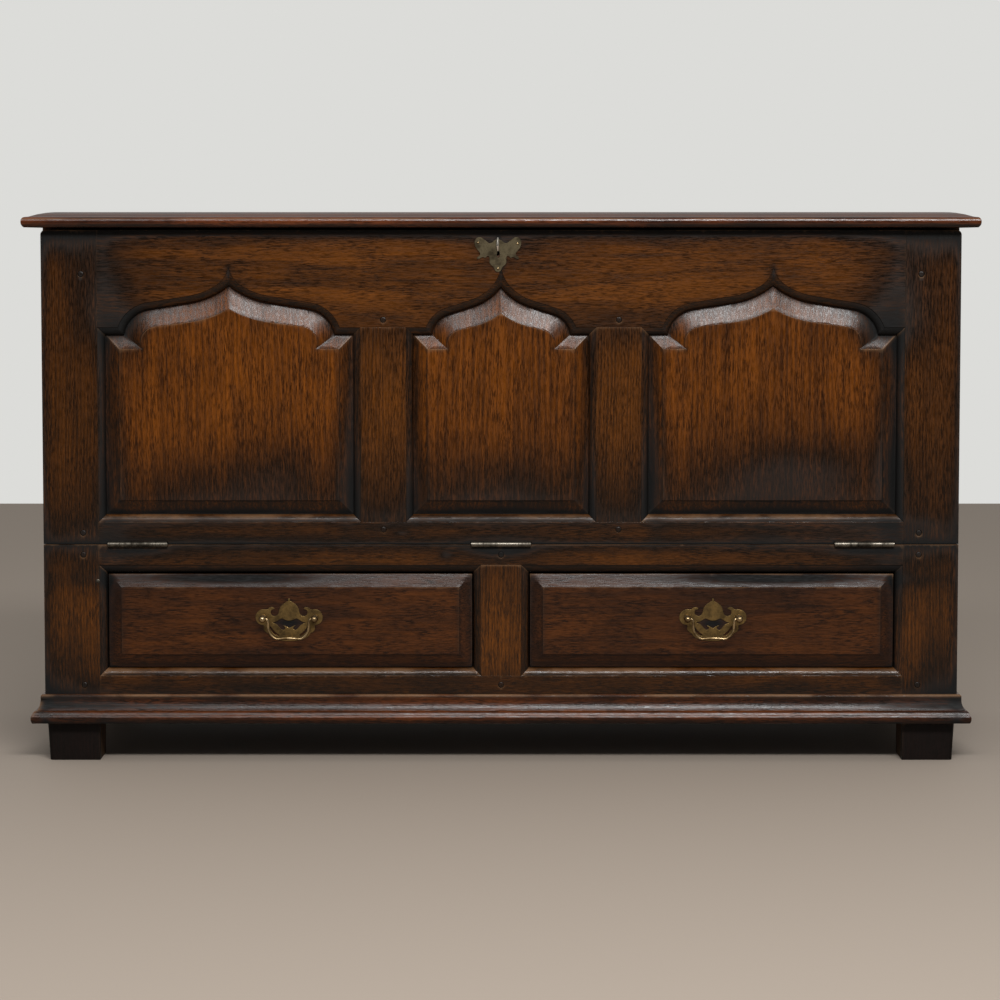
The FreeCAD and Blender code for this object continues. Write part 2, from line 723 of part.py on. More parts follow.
def make_fall():
    openings = make_fall_openings()
    blank = box(-half_width, half_width, 0, front_thickness, fall_bottom, fall_top)
    corners = [edge for edge in blank.Edges
               if edge.BoundBox.YLength > front_thickness / 2 and edge.BoundBox.ZMin > fall_top - slack]
    blank = blank.makeFillet(fall_corner_radius, corners)
    for opening in openings:
        blank = blank.cut(moulded_hole(opening, front_thickness, True))
    regions = [stile_region(-half_width - slack, fall_bottom - slack, fall_top + slack, openings[:1], 1),
               stile_region(half_width + slack, fall_bottom - slack, fall_top + slack, openings[2:], -1),
               muntin_region(openings[0], openings[1]), muntin_region(openings[1], openings[2])]
    (left_stile, right_stile, left_muntin, right_muntin), rails = split_frame(
        blank, front_thickness, regions)
    bottom_rail, top_rail = rails

    # tenons: the rails into the stiles, the muntins into the rails
    flat_x = half_width - stile_flat
    low0, low1 = fall_bottom + tenon_shoulder, fall_opening_bottom - moulding_width - tenon_shoulder / 2
    high0, high1 = fall_shoulder_height + moulding_width + tenon_shoulder, fall_top - 3 * tenon_shoulder
    reach = flat_x + stile_tenon_length
    bottom_rail, left_stile = tenon_joint(bottom_rail, left_stile, -reach, -flat_x, low0, low1)
    bottom_rail, right_stile = tenon_joint(bottom_rail, right_stile, flat_x, reach, low0, low1)
    top_rail, left_stile = tenon_joint(top_rail, left_stile, -reach, -flat_x, high0, high1)
    top_rail, right_stile = tenon_joint(top_rail, right_stile, flat_x, reach, high0, high1)
    muntins = []
    tenon_half = fall_muntin_flat / 2 - tenon_shoulder
    foot_z = fall_opening_bottom - moulding_width
    head_z = fall_shoulder_height + moulding_width
    for muntin, side in ((left_muntin, -1), (right_muntin, 1)):
        x = side * (centre_opening_width / 2 + fall_muntin_width / 2)
        muntin, bottom_rail = tenon_joint(muntin, bottom_rail, x - tenon_half, x + tenon_half,
                                          foot_z - muntin_tenon_length, foot_z)
        muntin, top_rail = tenon_joint(muntin, top_rail, x - tenon_half, x + tenon_half,
                                       head_z, head_z + muntin_tenon_length)
        muntins.append(muntin)

    # pegs through every joint, keyhole, lock and hinge seats
    places = fall_peg_places()
    holes = [peg_hole(x, z) for x, z in places]
    lock_block, lock = make_chest_lock()
    hinge_cuts = []
    for x in (-fall_hinge_offset, 0.0, fall_hinge_offset):
        hinge_cuts += hinge_room(x, -hinge_proud, hinge_line, fall_joint_gap, 1, 1)
    top_rail = one_solid(top_rail.cut([keyhole(-slack, front_thickness), lock_block] + holes))
    bottom_rail = one_solid(bottom_rail.cut(hinge_cuts + holes))
    save("fall_left_stile", one_solid(left_stile.cut(hinge_cuts + holes)))
    save("fall_right_stile", one_solid(right_stile.cut(hinge_cuts + holes)))
    save("fall_top_rail", top_rail)
    save("fall_bottom_rail", bottom_rail)
    save("fall_left_muntin", one_solid(muntins[0].cut(holes)))
    save("fall_right_muntin", one_solid(muntins[1].cut(holes)))
    for name, opening in zip(("left", "centre", "right"), openings):
        save("fall_" + name + "_panel", fielded_panel(opening))
    save("fall_pegs", *[peg(x, z) for x, z in places])
    save("escutcheon", make_escutcheon())
    save("chest_lock", lock)
    save("fall_stays", make_stay(-1), make_stay(1))


# ---------------------------------------------------------------- drawer frame and end frames
def make_drawer_openings():
    return [rectangle_opening(-opening_half_span, -divider_half, drawer_opening_bottom, drawer_opening_top),
            rectangle_opening(divider_half, opening_half_span, drawer_opening_bottom, drawer_opening_top)]


def make_end_frame():
    # the left end, drawn flat: x runs from the back (0 end) to the front of the carcass,
    # y = 0 is its outer face; turned into place afterwards
    openings = [rectangle_opening(-carcass_depth + stile_width, -stile_width, drawer_opening_bottom,
                                  drawer_opening_top),
                rectangle_opening(-carcass_depth + stile_width, -stile_width, fall_opening_bottom,
                                  end_top_rail_bottom)]
    blank = box(-carcass_depth, 0, 0, end_thickness, foot_height, carcass_top)
    # the fall covers the front edge above the hinge line
    blank = blank.cut(box(-upright_front, slack, -slack, end_thickness + slack, lower_front_top, carcass_top + slack))
    for opening in openings:
        blank = blank.cut(moulded_hole(opening, end_thickness, True))
    regions = [stile_region(-carcass_depth - slack, foot_height - slack, carcass_top + slack, openings, 1),
               stile_region(slack, foot_height - slack, carcass_top + slack, openings, -1)]
    (rear_stile, front_stile), rails = split_frame(blank, end_thickness, regions)
    rear_flat = -carcass_depth + stile_flat
    front_flat = -stile_flat
    spans = [(foot_height + tenon_shoulder, drawer_opening_bottom - moulding_width - tenon_shoulder),
             (drawer_opening_top + moulding_width + tenon_shoulder,
              fall_opening_bottom - moulding_width - tenon_shoulder),
             (end_top_rail_bottom + moulding_width + tenon_shoulder, carcass_top - 2 * tenon_shoulder)]
    joined = []
    for rail, (z0, z1) in zip(rails, spans):
        rail, rear_stile = tenon_joint(rail, rear_stile, rear_flat - stile_tenon_length, rear_flat, z0, z1)
        rail, front_stile = tenon_joint(rail, front_stile, front_flat, front_flat + stile_tenon_length, z0, z1)
        joined.append(rail)
    panels = [fielded_panel(opening) for opening in openings]
    return rear_stile, front_stile, joined, panels


def turned_to_left_end(shape):
    shape = shape.copy()
    shape.rotate(V(0, 0, 0), V(0, 0, 1), -90)
    shape.translate(V(-half_width, 0, 0))
    return shape


def carcass_peg_places():
    rail_z = (lower_front_top + drawer_opening_top + moulding_width) / 2
    stile_x = half_width - stile_flat + stile_tenon_length / 2
    low_z = (base_moulding_top + drawer_opening_bottom - moulding_width) / 2
    return [(-stile_x, rail_z), (0.0, rail_z), (stile_x, rail_z), (-stile_x, low_z), (0.0, low_z), (stile_x, low_z)]


def make_carcass_front():
    openings = make_drawer_openings()
    blank = box(-half_width, half_width, 0, front_thickness, foot_height, lower_front_top)
    for opening in openings:
        blank = blank.cut(moulded_hole(opening, front_thickness, False))
    regions = [stile_region(-half_width - slack, foot_height - slack, lower_front_top + slack, openings[:1], 1),
               stile_region(half_width + slack, foot_height - slack, lower_front_top + slack, openings[1:], -1),
               muntin_region(openings[0], openings[1])]
    (left_stile, right_stile, divider), (lower_rail, upper_rail) = split_frame(
        blank, front_thickness, regions)

    flat_x = half_width - stile_flat
    reach = flat_x + stile_tenon_length
    low0, low1 = foot_height + tenon_shoulder, drawer_opening_bottom - moulding_width - tenon_shoulder
    high0, high1 = drawer_opening_top + moulding_width + tenon_shoulder / 2, lower_front_top - tenon_shoulder
    lower_rail, left_stile = tenon_joint(lower_rail, left_stile, -reach, -flat_x, low0, low1)
    lower_rail, right_stile = tenon_joint(lower_rail, right_stile, flat_x, reach, low0, low1)
    upper_rail, left_stile = tenon_joint(upper_rail, left_stile, -reach, -flat_x, high0, high1)
    upper_rail, right_stile = tenon_joint(upper_rail, right_stile, flat_x, reach, high0, high1)
    tenon_half = divider_flat / 2 - tenon_shoulder
    foot_z = drawer_opening_bottom - moulding_width
    head_z = drawer_opening_top + moulding_width
    divider, lower_rail = tenon_joint(divider, lower_rail, -tenon_half, tenon_half,
                                      foot_z - muntin_tenon_length, foot_z)
    divider, upper_rail = tenon_joint(divider, upper_rail, -tenon_half, tenon_half,
                                      head_z, head_z + muntin_tenon_length)

    places = carcass_peg_places()
    holes = [peg_hole(x, z) for x, z in places]
    hinge_cuts = []
    for x in (-fall_hinge_offset, 0.0, fall_hinge_offset):
        hinge_cuts += hinge_room(x, -hinge_proud, hinge_line, fall_joint_gap, 1, -1)
    save("upper_drawer_rail", one_solid(upper_rail.cut(hinge_cuts + holes)))
    save("lower_drawer_rail", one_solid(lower_rail.cut(holes)))
    save("drawer_divider", one_solid(divider.cut(holes)))
    save("carcass_pegs", *[peg(x, z) for x, z in places])
    return left_stile, hinge_cuts + holes


def make_carcass():
    front_board, front_cuts = make_carcass_front()
    rear_side, front_side, end_rails, end_panels = make_end_frame()
    rear_side, front_side = turned_to_left_end(rear_side), turned_to_left_end(front_side)

    # posts: an L of front board and side board round a core
    core_front = box(-end_inner, -upright_inner, upright_front, upright_front + upright_depth,
                     foot_height, carcass_top)
    core_low = box(-end_inner, -upright_inner, front_thickness, upright_front, foot_height, lower_front_top)
    cores = [core_front, core_low, mirrored(core_front), mirrored(core_low)]
    front_post = front_board.fuse([front_side, core_front, core_low])
    front_post = one_solid(one_solid(front_post).cut(front_cuts))
    rear_core = box(-end_inner, -upright_inner, rear_post_front, carcass_depth, foot_height, carcass_top)
    rear_post = fused(rear_side, rear_core)
    for side, turn in (("left", lambda shape: shape), ("right", mirrored)):
        save(side + "_front_post", turn(front_post))
        save(side + "_rear_post", turn(rear_post))
        for name, rail in zip(("bottom", "middle", "top"), end_rails):
            save(side + "_end_" + name + "_rail", turn(turned_to_left_end(rail)))
        save(side + "_end_panels", *[turn(turned_to_left_end(panel)) for panel in end_panels])
    save("stay_guides", make_stay_guide(-1), make_stay_guide(1))
    return cores + [rear_core, mirrored(rear_core)]


def make_back():
    rail_front = carcass_depth - back_board_thickness - back_rail_thickness
    board_front = carcass_depth - back_board_thickness
    middle_top = floor_top - floor_thickness
    spans = [(foot_height, foot_height + back_bottom_rail_height),
             (middle_top - back_middle_rail_height, middle_top)]
    rails = [box(-upright_inner, upright_inner, rail_front, board_front, z0, z1) for z0, z1 in spans]
    top = box(-upright_inner, upright_inner, rail_front, carcass_depth,
              carcass_top - back_top_rail_height, carcass_top)
    for x in (-lid_hinge_offset, lid_hinge_offset):
        top = top.cut(hinge_room(x, carcass_depth + hinge_proud, carcass_top + rest_gap / 2, rest_gap, -1, -1))
    save("back_rails", *(rails + [one_solid(top)]))

    pitch = 2 * upright_inner / back_board_count
    boards = []
    for index in range(back_board_count):
        x0 = -upright_inner + index * pitch + (back_board_gap / 2 if index else 0)
        x1 = -upright_inner + (index + 1) * pitch - (back_board_gap / 2 if index < back_board_count - 1 else 0)
        boards.append(box(x0, x1, board_front, carcass_depth, foot_height, carcass_top - back_top_rail_height))
    save("back_boards", *boards)


def make_floor(post_cores):
    # boards laid from end to end on bearers along the ends, notched round the posts and
    # slotted for the tails of the stays
    notches = post_cores + [stay_slot(-1), stay_slot(1)]
    y0 = front_thickness
    y1 = carcass_depth - back_board_thickness
    pitch = (y1 - y0) / floor_board_count
    boards = []
    for index in range(floor_board_count):
        front = y0 + index * pitch + (floor_board_gap / 2 if index else 0)
        back = y0 + (index + 1) * pitch - (floor_board_gap / 2 if index < floor_board_count - 1 else 0)
        board = box(-end_inner, end_inner, front, back, floor_top - floor_thickness, floor_top)
        boards.append(one_solid(board.cut(notches)))
    save("chest_floor", *boards)

    bearer_top = floor_top - floor_thickness
    bearer_front = upright_front + upright_depth
    bearers = []
    for x0 in (-end_inner, end_inner - bearer_width):
        bearers.append(box(x0, x0 + bearer_width, bearer_front, rear_post_front,
                           bearer_top - bearer_height, bearer_top))
    save("floor_bearers", *bearers)


def make_runners():
    # ledges that the drawer sides slide on, with guides beside the drawers
    top = drawer_opening_bottom
    front = front_thickness
    back = carcass_depth - back_board_thickness - back_rail_thickness
    runners = []
    for side in (-1, 1):
        ledge_in, ledge_out = side * (opening_half_span - runner_ledge), side * upright_inner
        ledge_x = sorted((ledge_in, ledge_out))
        guide_x = sorted((side * (opening_half_span - rest_gap), ledge_out))
        ledge = box(ledge_x[0], ledge_x[1], front, back, top - runner_height, top)
        guide = box(guide_x[0], guide_x[1], front, back, top, top + guide_height)
        runners.append(fused(ledge, guide))
    ledge_half = divider_half + runner_ledge
    guide_half = divider_half - rest_gap
    ledge = box(-ledge_half, ledge_half, front, back, top - runner_height, top)
    guide = box(-guide_half, guide_half, front, back, top, top + guide_height)
    runners.append(fused(ledge, guide))
    save("drawer_runners", *runners)


# ---------------------------------------------------------------- base moulding and feet
def base_section(placed):
    # points (reach, height): rounded nose, ovolo, cove and a square step at the top
    bottom = foot_height
    nose = bottom + base_nose_height
    cove_foot = bottom + base_cove_foot_height
    cove_head = base_moulding_top - base_step_height
    ovolo = (base_moulding_reach - base_ovolo_in * (base_moulding_reach - base_cove_foot_reach),
             cove_foot - base_ovolo_down * (cove_foot - nose))
    cove = (base_cove_foot_reach - base_cove_in * (base_cove_foot_reach - base_step_reach),
            cove_foot + base_cove_up * (cove_head - cove_foot))
    round_foot = base_moulding_reach - base_nose_share * base_nose_height
    nose_middle = (base_moulding_reach - base_nose_ease * base_nose_height, (bottom + nose) / 2)
    ease = base_step_ease * base_step_height
    return bent_face((0.0, bottom),
                     [(round_foot, bottom),
                      (nose_middle, (base_moulding_reach, nose)),
                      (ovolo, (base_cove_foot_reach, cove_foot)),
                      (cove, (base_step_reach, cove_head)),
                      (base_step_reach, base_moulding_top - ease),
                      (base_step_reach - ease, base_moulding_top),
                      (0.0, base_moulding_top)],
                     placed)


def plan_prism(points, z0, z1):
    face = polygon_face([V(x, y, z0) for x, y in points])
    return face.extrude(V(0, 0, z1 - z0))


def make_base_moulding():
    # three lengths round the front and the ends, mitred at the front corners
    reach = base_moulding_reach
    span = half_width + 2 * reach
    front = base_section(lambda point: V(-span, -point[0], point[1])).extrude(V(2 * span, 0, 0))
    side = base_section(lambda point: V(-half_width - point[0], -span, point[1]))
    side = side.extrude(V(0, span + carcass_depth, 0))
    z0, z1 = foot_height - slack, base_moulding_top + slack
    corner = 2 * reach
    front_zone = plan_prism([(-half_width - corner, -corner), (half_width + corner, -corner),
                             (half_width, 0), (-half_width, 0)], z0, z1)
    side_zone = plan_prism([(-half_width - corner, -corner), (-half_width, 0),
                            (-half_width, carcass_depth), (-half_width - corner, carcass_depth)], z0, z1)
    front = one_solid(front.common(front_zone))
    side = one_solid(side.common(side_zone))
    save("base_moulding", front, side, mirrored(side))


def make_foot():
    # front left foot: square block, a little smaller at the floor, rounded outer corner
    x1 = -half_width + foot_inset + foot_width
    y1 = foot_inset + foot_depth

    def ring(taper, z):
        x0, y0 = -half_width + foot_inset + taper, foot_inset + taper
        points = [V(x0, y0, z), V(x1, y0, z), V(x1, y1, z), V(x0, y1, z)]
        return Part.makePolygon(points + [points[0]])

    block = Part.makeLoft([ring(foot_taper, 0.0), ring(0.0, foot_height)], True, True)
    corner = [edge for edge in block.Edges
              if edge.BoundBox.ZLength > foot_height / 2 and edge.BoundBox.XMax < -half_width + foot_width / 2
              and edge.BoundBox.YMax < foot_depth / 2]
    return block.makeFillet(foot_corner_radius, corner)


def make_feet():
    front = make_foot()
    rear = front.mirror(V(0, carcass_depth / 2, 0), V(0, 1, 0))
    save("feet", front, mirrored(front), rear, mirrored(rear))


# ---------------------------------------------------------------- lid
def make_lid():
    z0, z1 = lid_bottom, lid_top
    shoulder = z1 - lid_edge_drop
    nose_run = lid_nose_run * lid_nose_radius

    def edge_steps(outer, direction):
        # from the underside round the nose and up the shallow curve to the flat top
        nose_top = (outer + direction * lid_nose_lean * lid_nose_radius, shoulder)
        run_middle = (outer + direction * lid_curve_in * lid_edge_run, z1 - lid_curve_down * lid_edge_drop)
        return [((outer, (z0 + shoulder) / 2), nose_top),
                (run_middle, (outer + direction * lid_edge_run, z1))]

    front = -lid_overhang
    span = half_width + 2 * lid_overhang
    along_y = bent_face((front + nose_run, z0), edge_steps(front, 1) + [(carcass_depth, z1), (carcass_depth, z0)],
                        lambda point: V(-span, point[0], point[1]))
    right = half_width + lid_overhang
    right_steps = edge_steps(right, -1)
    (nose, shoulder_end), (curve, top_end) = right_steps
    downward = [(curve, shoulder_end), (nose, (right - nose_run, z0))]
    along_x = bent_face((-right + nose_run, z0), edge_steps(-right, 1) + [top_end] + downward,
                        lambda point: V(point[0], -span, point[1]))
    slab = one_solid(along_y.extrude(V(2 * span, 0, 0)).common(along_x.extrude(V(0, 2 * span + carcass_depth, 0))))
    hinge_z = carcass_top + rest_gap / 2
    for x in (-lid_hinge_offset, lid_hinge_offset):
        slab = slab.cut(hinge_room(x, carcass_depth + hinge_proud, hinge_z, rest_gap, -1, 1))
    board_width = (carcass_depth + lid_overhang) / lid_board_count
    boards = []
    for index in range(lid_board_count):
        y0 = front - slack if index == 0 else front + index * board_width
        y1 = carcass_depth + slack if index == lid_board_count - 1 else front + (index + 1) * board_width
        boards.append(one_solid(slab.common(box(-span, span, y0, y1, z0 - slack, z1 + slack))))
    save("lid_boards", *boards)

    cleats = []
    outer = upright_inner - cleat_inset
    cleat_front = upright_front + cleat_end_gap
    cleat_back = carcass_depth - back_board_thickness - back_rail_thickness - cleat_end_gap
    for x0 in (-outer, outer - cleat_width):
        cleats.append(box(x0, x0 + cleat_width, cleat_front, cleat_back, z0 - cleat_height, z0))
    save("lid_cleats", *cleats)


def make_hinges():
    lower, upper, pin = butt_hinge(fall_joint_gap, 1)
    places = [(x, -hinge_proud, hinge_line) for x in (-fall_hinge_offset, 0.0, fall_hinge_offset)]
    save("fall_hinge_lower_leaves", *[place(lower, *spot) for spot in places])
    save("fall_hinge_upper_leaves", *[place(upper, *spot) for spot in places])
    save("fall_hinge_pins", *[place(pin, *spot) for spot in places])
    lower, upper, pin = butt_hinge(rest_gap, -1)
    hinge_z = carcass_top + rest_gap / 2
    places = [(x, carcass_depth + hinge_proud, hinge_z) for x in (-lid_hinge_offset, lid_hinge_offset)]
    save("lid_hinge_lower_leaves", *[place(lower, *spot) for spot in places])
    save("lid_hinge_upper_leaves", *[place(upper, *spot) for spot in places])
    save("lid_hinge_pins", *[place(pin, *spot) for spot in places])


# ---------------------------------------------------------------- drawers
drawer_front_back = drawer_field_depth + drawer_front_thickness
drawer_side_bottom = drawer_opening_bottom + rest_gap
drawer_rear = carcass_depth - back_board_thickness - back_rail_thickness - drawer_stop_gap
plate_front = drawer_field_depth - plate_thickness


def drawer_tails(x0, x1):
    # the side board's dovetails, wider towards the drawer's face
    pitch = (drawer_side_height - 2 * tail_margin) / tail_count
    front = drawer_front_back - tail_lap
    tails = []
    for index in range(tail_count):
        middle = drawer_side_bottom + tail_margin + (index + 0.5) * pitch
        narrow, wide = tail_share * pitch / 2, tail_share * pitch / 2 + tail_flare
        tails.append(prism_x([(drawer_front_back, middle - narrow), (front, middle - wide),
                              (front, middle + wide), (drawer_front_back, middle + narrow)], x0, x1))
    return tails


def handle_places(side):
    centre = side * handle_centre_x
    return centre - handle_spacing / 2, centre + handle_spacing / 2


def make_drawer(name, side, opening):
    outline = rectangle_opening(opening["left"] + drawer_side_gap, opening["right"] - drawer_side_gap,
                                opening["bottom"] + drawer_bottom_gap, opening["top"] - drawer_top_gap)
    left, right = outline["left"], outline["right"]
    field_edge = drawer_field_depth + drawer_field_step
    front = fused(opening_prism(outline, 0.0, drawer_edge_depth, drawer_front_back),
                  opening_frustum(outline, 0.0, drawer_edge_depth, -drawer_bevel, field_edge),
                  opening_prism(outline, -drawer_bevel, drawer_field_depth, field_edge))
    side_top = drawer_side_bottom + drawer_side_height
    bottom_z0 = drawer_side_bottom + drawer_bottom_lift
    bottom_z1 = bottom_z0 + drawer_bottom_thickness
    inner_left, inner_right = left + drawer_side_thickness, right - drawer_side_thickness
    bottom = box(inner_left - drawer_bottom_groove, inner_right + drawer_bottom_groove,
                 drawer_front_back - drawer_bottom_groove, drawer_rear, bottom_z0, bottom_z1)
    sides = []
    for x0, x1 in ((left, inner_left), (inner_right, right)):
        board = box(x0, x1, drawer_front_back, drawer_rear, drawer_side_bottom, side_top)
        tails = drawer_tails(x0, x1)
        front = one_solid(front.cut(tails))
        board = fused(board, *tails)
        sides.append(one_solid(board.cut(bottom)))
    back = box(inner_left, inner_right, drawer_rear - drawer_side_thickness, drawer_rear,
               bottom_z1, side_top - drawer_back_drop)
    shanks = [cylinder_y(post_shank_radius + shank_clearance, x, handle_height, -slack, 2 * drawer_front_back)
              for x in handle_places(side)]
    save(name + "_drawer_front", one_solid(front.cut([bottom] + shanks)))
    save(name + "_drawer_sides", *sides)
    save(name + "_drawer_back", back)
    save(name + "_drawer_bottom", bottom)


# ---------------------------------------------------------------- handles
def make_handle_plate(name, side):
    # pierced plate: domed crest with a bud, scrolls beside it, round lobes behind the posts
    centre = side * handle_centre_x
    top = handle_plate_top
    pins = handle_height
    low = pins - handle_plate_drop
    y0, y1 = plate_front, drawer_field_depth
    lobe_x = handle_plate_width / 2 - plate_lobe_radius
    dome_top = top - plate_bud_depth
    dome_shoulder = top - plate_dome_shoulder_drop
    dome_foot = top - plate_dome_foot_drop
    dome = face_plate((-plate_dome_half_width, pins),
                      [(-plate_dome_half_width, dome_foot),
                       ((-plate_dome_shoulder, dome_shoulder), (0.0, dome_top)),
                       ((plate_dome_shoulder, dome_shoulder), (plate_dome_half_width, dome_foot)),
                       (plate_dome_half_width, pins)], centre, y0, y1)
    body = face_plate((-lobe_x, pins + plate_lobe_radius),
                      [(-lobe_x, pins - plate_lobe_radius), (-plate_skirt_x, pins - plate_skirt_drop),
                       ((-plate_belly_x, low + plate_belly_rise), (0.0, low)),
                       ((plate_belly_x, low + plate_belly_rise), (plate_skirt_x, pins - plate_skirt_drop)),
                       (lobe_x, pins - plate_lobe_radius), (lobe_x, pins + plate_lobe_radius)], centre, y0, y1)
    plate = fused(body, dome, cylinder_y(plate_bud_radius, centre, top - plate_bud_radius, y0, y1))
    for turn in (-1, 1):
        plate = fused(plate, cylinder_y(plate_lobe_radius, centre + turn * lobe_x, pins, y0, y1))
        scroll = cylinder_y(scroll_radius, centre + turn * scroll_x, top - scroll_drop, y0 - slack, y1 + slack)
        plate = one_solid(plate.cut(scroll))
    lens = face_plate((-lens_half_width, pins),
                      [((0.0, pins + lens_rise), (lens_half_width, pins)),
                       ((0.0, pins - lens_fall), (-lens_half_width, pins))], centre, y0 - slack, y1 + slack)
    shanks = [cylinder_y(post_shank_radius + shank_clearance, x, pins, y0 - slack, y1 + slack)
              for x in handle_places(side)]
    save(name + "_handle_plate", one_solid(plate.cut([lens] + shanks)))


def make_handle_posts(name, side):
    # ball-headed posts bolted through the drawer front; the balls are bored for the bail
    solids = []
    for x, turn in zip(handle_places(side), (-1, 1)):
        head = Part.makeSphere(post_head_radius, V(x, pivot_y, handle_height))
        neck = cylinder_y(post_neck_radius, x, handle_height, pivot_y, plate_front)
        collar = cylinder_y(post_collar_radius, x, handle_height, plate_front - post_collar_height, plate_front)
        shank_end = drawer_front_back + nut_thickness + slack
        shank = cylinder_y(post_shank_radius, x, handle_height, plate_front, shank_end)
        post = fused(head, neck, collar, shank)
        bore_end = x + turn * (bail_pin_overlap + bail_end_clearance)
        bore = sorted((bore_end, x - turn * 2 * post_head_radius))
        post = post.cut(cylinder_x(bail_pin_radius + pin_clearance, bore[0], bore[1], pivot_y, handle_height))
        nut = box(x - nut_size / 2, x + nut_size / 2, drawer_front_back, drawer_front_back + nut_thickness,
                  handle_height - nut_size / 2, handle_height + nut_size / 2)
        nut = nut.cut(cylinder_y(post_shank_radius + pin_clearance, x, handle_height,
                                 drawer_front_back - slack, shank_end))
        solids += [one_solid(post), one_solid(nut)]
    save(name + "_handle_posts", *solids)


def make_bail(name, side):
    # a drop handle: two uprights, rounded corners and a thicker grip, hung on two pins
    centre = side * handle_centre_x
    half = handle_spacing / 2 - bail_inset
    low = handle_height - bail_drop
    corner = bail_corner_radius
    y = pivot_y
    turn = corner * (1 - diagonal)
    spine = Part.Wire([
        Part.makeLine(V(centre - half, y, handle_height), V(centre - half, y, low + corner)),
        Part.Arc(V(centre - half, y, low + corner), V(centre - half + turn, y, low + turn),
                 V(centre - half + corner, y, low)).toShape(),
        Part.makeLine(V(centre - half + corner, y, low), V(centre + half - corner, y, low)),
        Part.Arc(V(centre + half - corner, y, low), V(centre + half - turn, y, low + turn),
                 V(centre + half, y, low + corner)).toShape(),
        Part.makeLine(V(centre + half, y, low + corner), V(centre + half, y, handle_height))])
    section = Part.Wire([Part.makeCircle(bail_radius, V(centre - half, y, handle_height), V(0, 0, 1))])
    bow = spine.makePipeShell([section], True, True)
    grip_half = half - corner - bail_radius
    taper = bail_grip_radius * bail_taper_share
    grip = cylinder_x(bail_grip_radius, centre - grip_half + taper, centre + grip_half - taper, y, low)
    shapes = [grip]
    for direction in (-1, 1):
        end = V(centre + direction * grip_half, y, low)
        shapes.append(Part.makeCone(bail_radius, bail_grip_radius, taper, end, V(-direction, 0, 0)))
        elbow = V(centre + direction * half, y, handle_height)
        shapes.append(Part.makeSphere(bail_radius, elbow))
        shapes.append(Part.makeCylinder(bail_pin_radius, bail_inset + bail_pin_overlap, elbow, V(direction, 0, 0)))
    save(name + "_bail_handle", fused(bow, *shapes))


make_fall()
post_cores = make_carcass()
make_back()
make_floor(post_cores)
make_runners()
make_base_moulding()
make_feet()
make_lid()
make_hinges()
for drawer_name, drawer_side, drawer_opening in zip(("left", "right"), (-1, 1), make_drawer_openings()):
    make_drawer(drawer_name, drawer_side, drawer_opening)
    make_handle_plate(drawer_name, drawer_side)
    make_handle_posts(drawer_name, drawer_side)
    make_bail(drawer_name, drawer_side)

print("hinge of the fall: y", round(centring - hinge_proud, 3), "z", round(hinge_line, 3))
print("hinge of the lid: y", round(centring + carcass_depth + hinge_proud, 3), "z", round(carcass_top + rest_gap / 2, 3))
print("bail pins: y", round(centring + pivot_y, 3), "z", round(handle_height, 3))
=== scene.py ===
import json
import math
import random

import bmesh
import bpy
import numpy as np
from mathutils import Matrix, Vector
from mathutils.bvhtree import BVHTree


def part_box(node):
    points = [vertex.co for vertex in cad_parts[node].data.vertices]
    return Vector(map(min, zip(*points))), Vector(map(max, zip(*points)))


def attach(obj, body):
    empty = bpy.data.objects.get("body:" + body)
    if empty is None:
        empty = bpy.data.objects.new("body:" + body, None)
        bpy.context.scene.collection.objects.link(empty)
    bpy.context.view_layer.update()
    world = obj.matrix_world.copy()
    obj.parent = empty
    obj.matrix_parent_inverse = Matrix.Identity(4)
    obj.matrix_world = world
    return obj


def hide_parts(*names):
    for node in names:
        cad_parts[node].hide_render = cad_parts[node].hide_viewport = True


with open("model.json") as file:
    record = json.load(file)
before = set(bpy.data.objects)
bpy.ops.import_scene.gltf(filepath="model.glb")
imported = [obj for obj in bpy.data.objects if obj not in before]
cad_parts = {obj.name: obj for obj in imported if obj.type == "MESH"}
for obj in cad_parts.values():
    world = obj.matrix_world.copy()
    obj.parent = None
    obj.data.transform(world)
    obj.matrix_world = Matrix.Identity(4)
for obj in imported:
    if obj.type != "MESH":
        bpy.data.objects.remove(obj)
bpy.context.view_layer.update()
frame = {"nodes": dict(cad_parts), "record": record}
behaviour = frame["record"]["behaviour"]
bodyOf = {node: body for body, nodes in behaviour["bodies"].items() for node in nodes}
slotOf = {node: frame["nodes"][node].data.materials[0].name for node in frame["nodes"]}
mm = 0.001
sides = dict(left=(0, 0), right=(1, 0), front=(0, 1), rear=(1, 1), under=(0, 2), top=(1, 2))


def faceOf(node, side):
    # where one side of a node lies, in millimetres
    end, axis = sides[side]
    return round(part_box(node)[end][axis] / mm, 3)


def jointPlace(name):
    joint = next(joint for joint in behaviour["joints"] if joint["name"] == name)
    return [round(value / mm, 3) for value in joint["pos_m"]]


frontY = faceOf("fall_top_rail", "front")
fallRearY = faceOf("fall_top_rail", "rear")
carcassTop = faceOf("left_front_post", "top")
hingeLine = jointPlace("fall_hinge")[2]


# small helpers for node trees

def isSocket(value):
    return isinstance(value, bpy.types.NodeSocket)


def makeNode(tree, kind, inputs=None, **settings):
    node = tree.nodes.new(kind)
    for key, value in settings.items():
        setattr(node, key, value)
    for key, value in (inputs or {}).items():
        if isSocket(value):
            tree.links.new(value, node.inputs[key])
        else:
            node.inputs[key].default_value = value
    return node


def treeOf(*values):
    return next(value.id_data for value in values if isSocket(value))


def calc(kind, first, second=0.0, clamp=False):
    node = makeNode(treeOf(first, second), "ShaderNodeMath", {0: first, 1: second}, operation=kind)
    node.use_clamp = clamp
    return node.outputs[0]


def plus(first, second, clamp=False):
    return calc("ADD", first, second, clamp)


def minus(first, second):
    return calc("SUBTRACT", first, second)


def times(first, second, clamp=False):
    return calc("MULTIPLY", first, second, clamp)


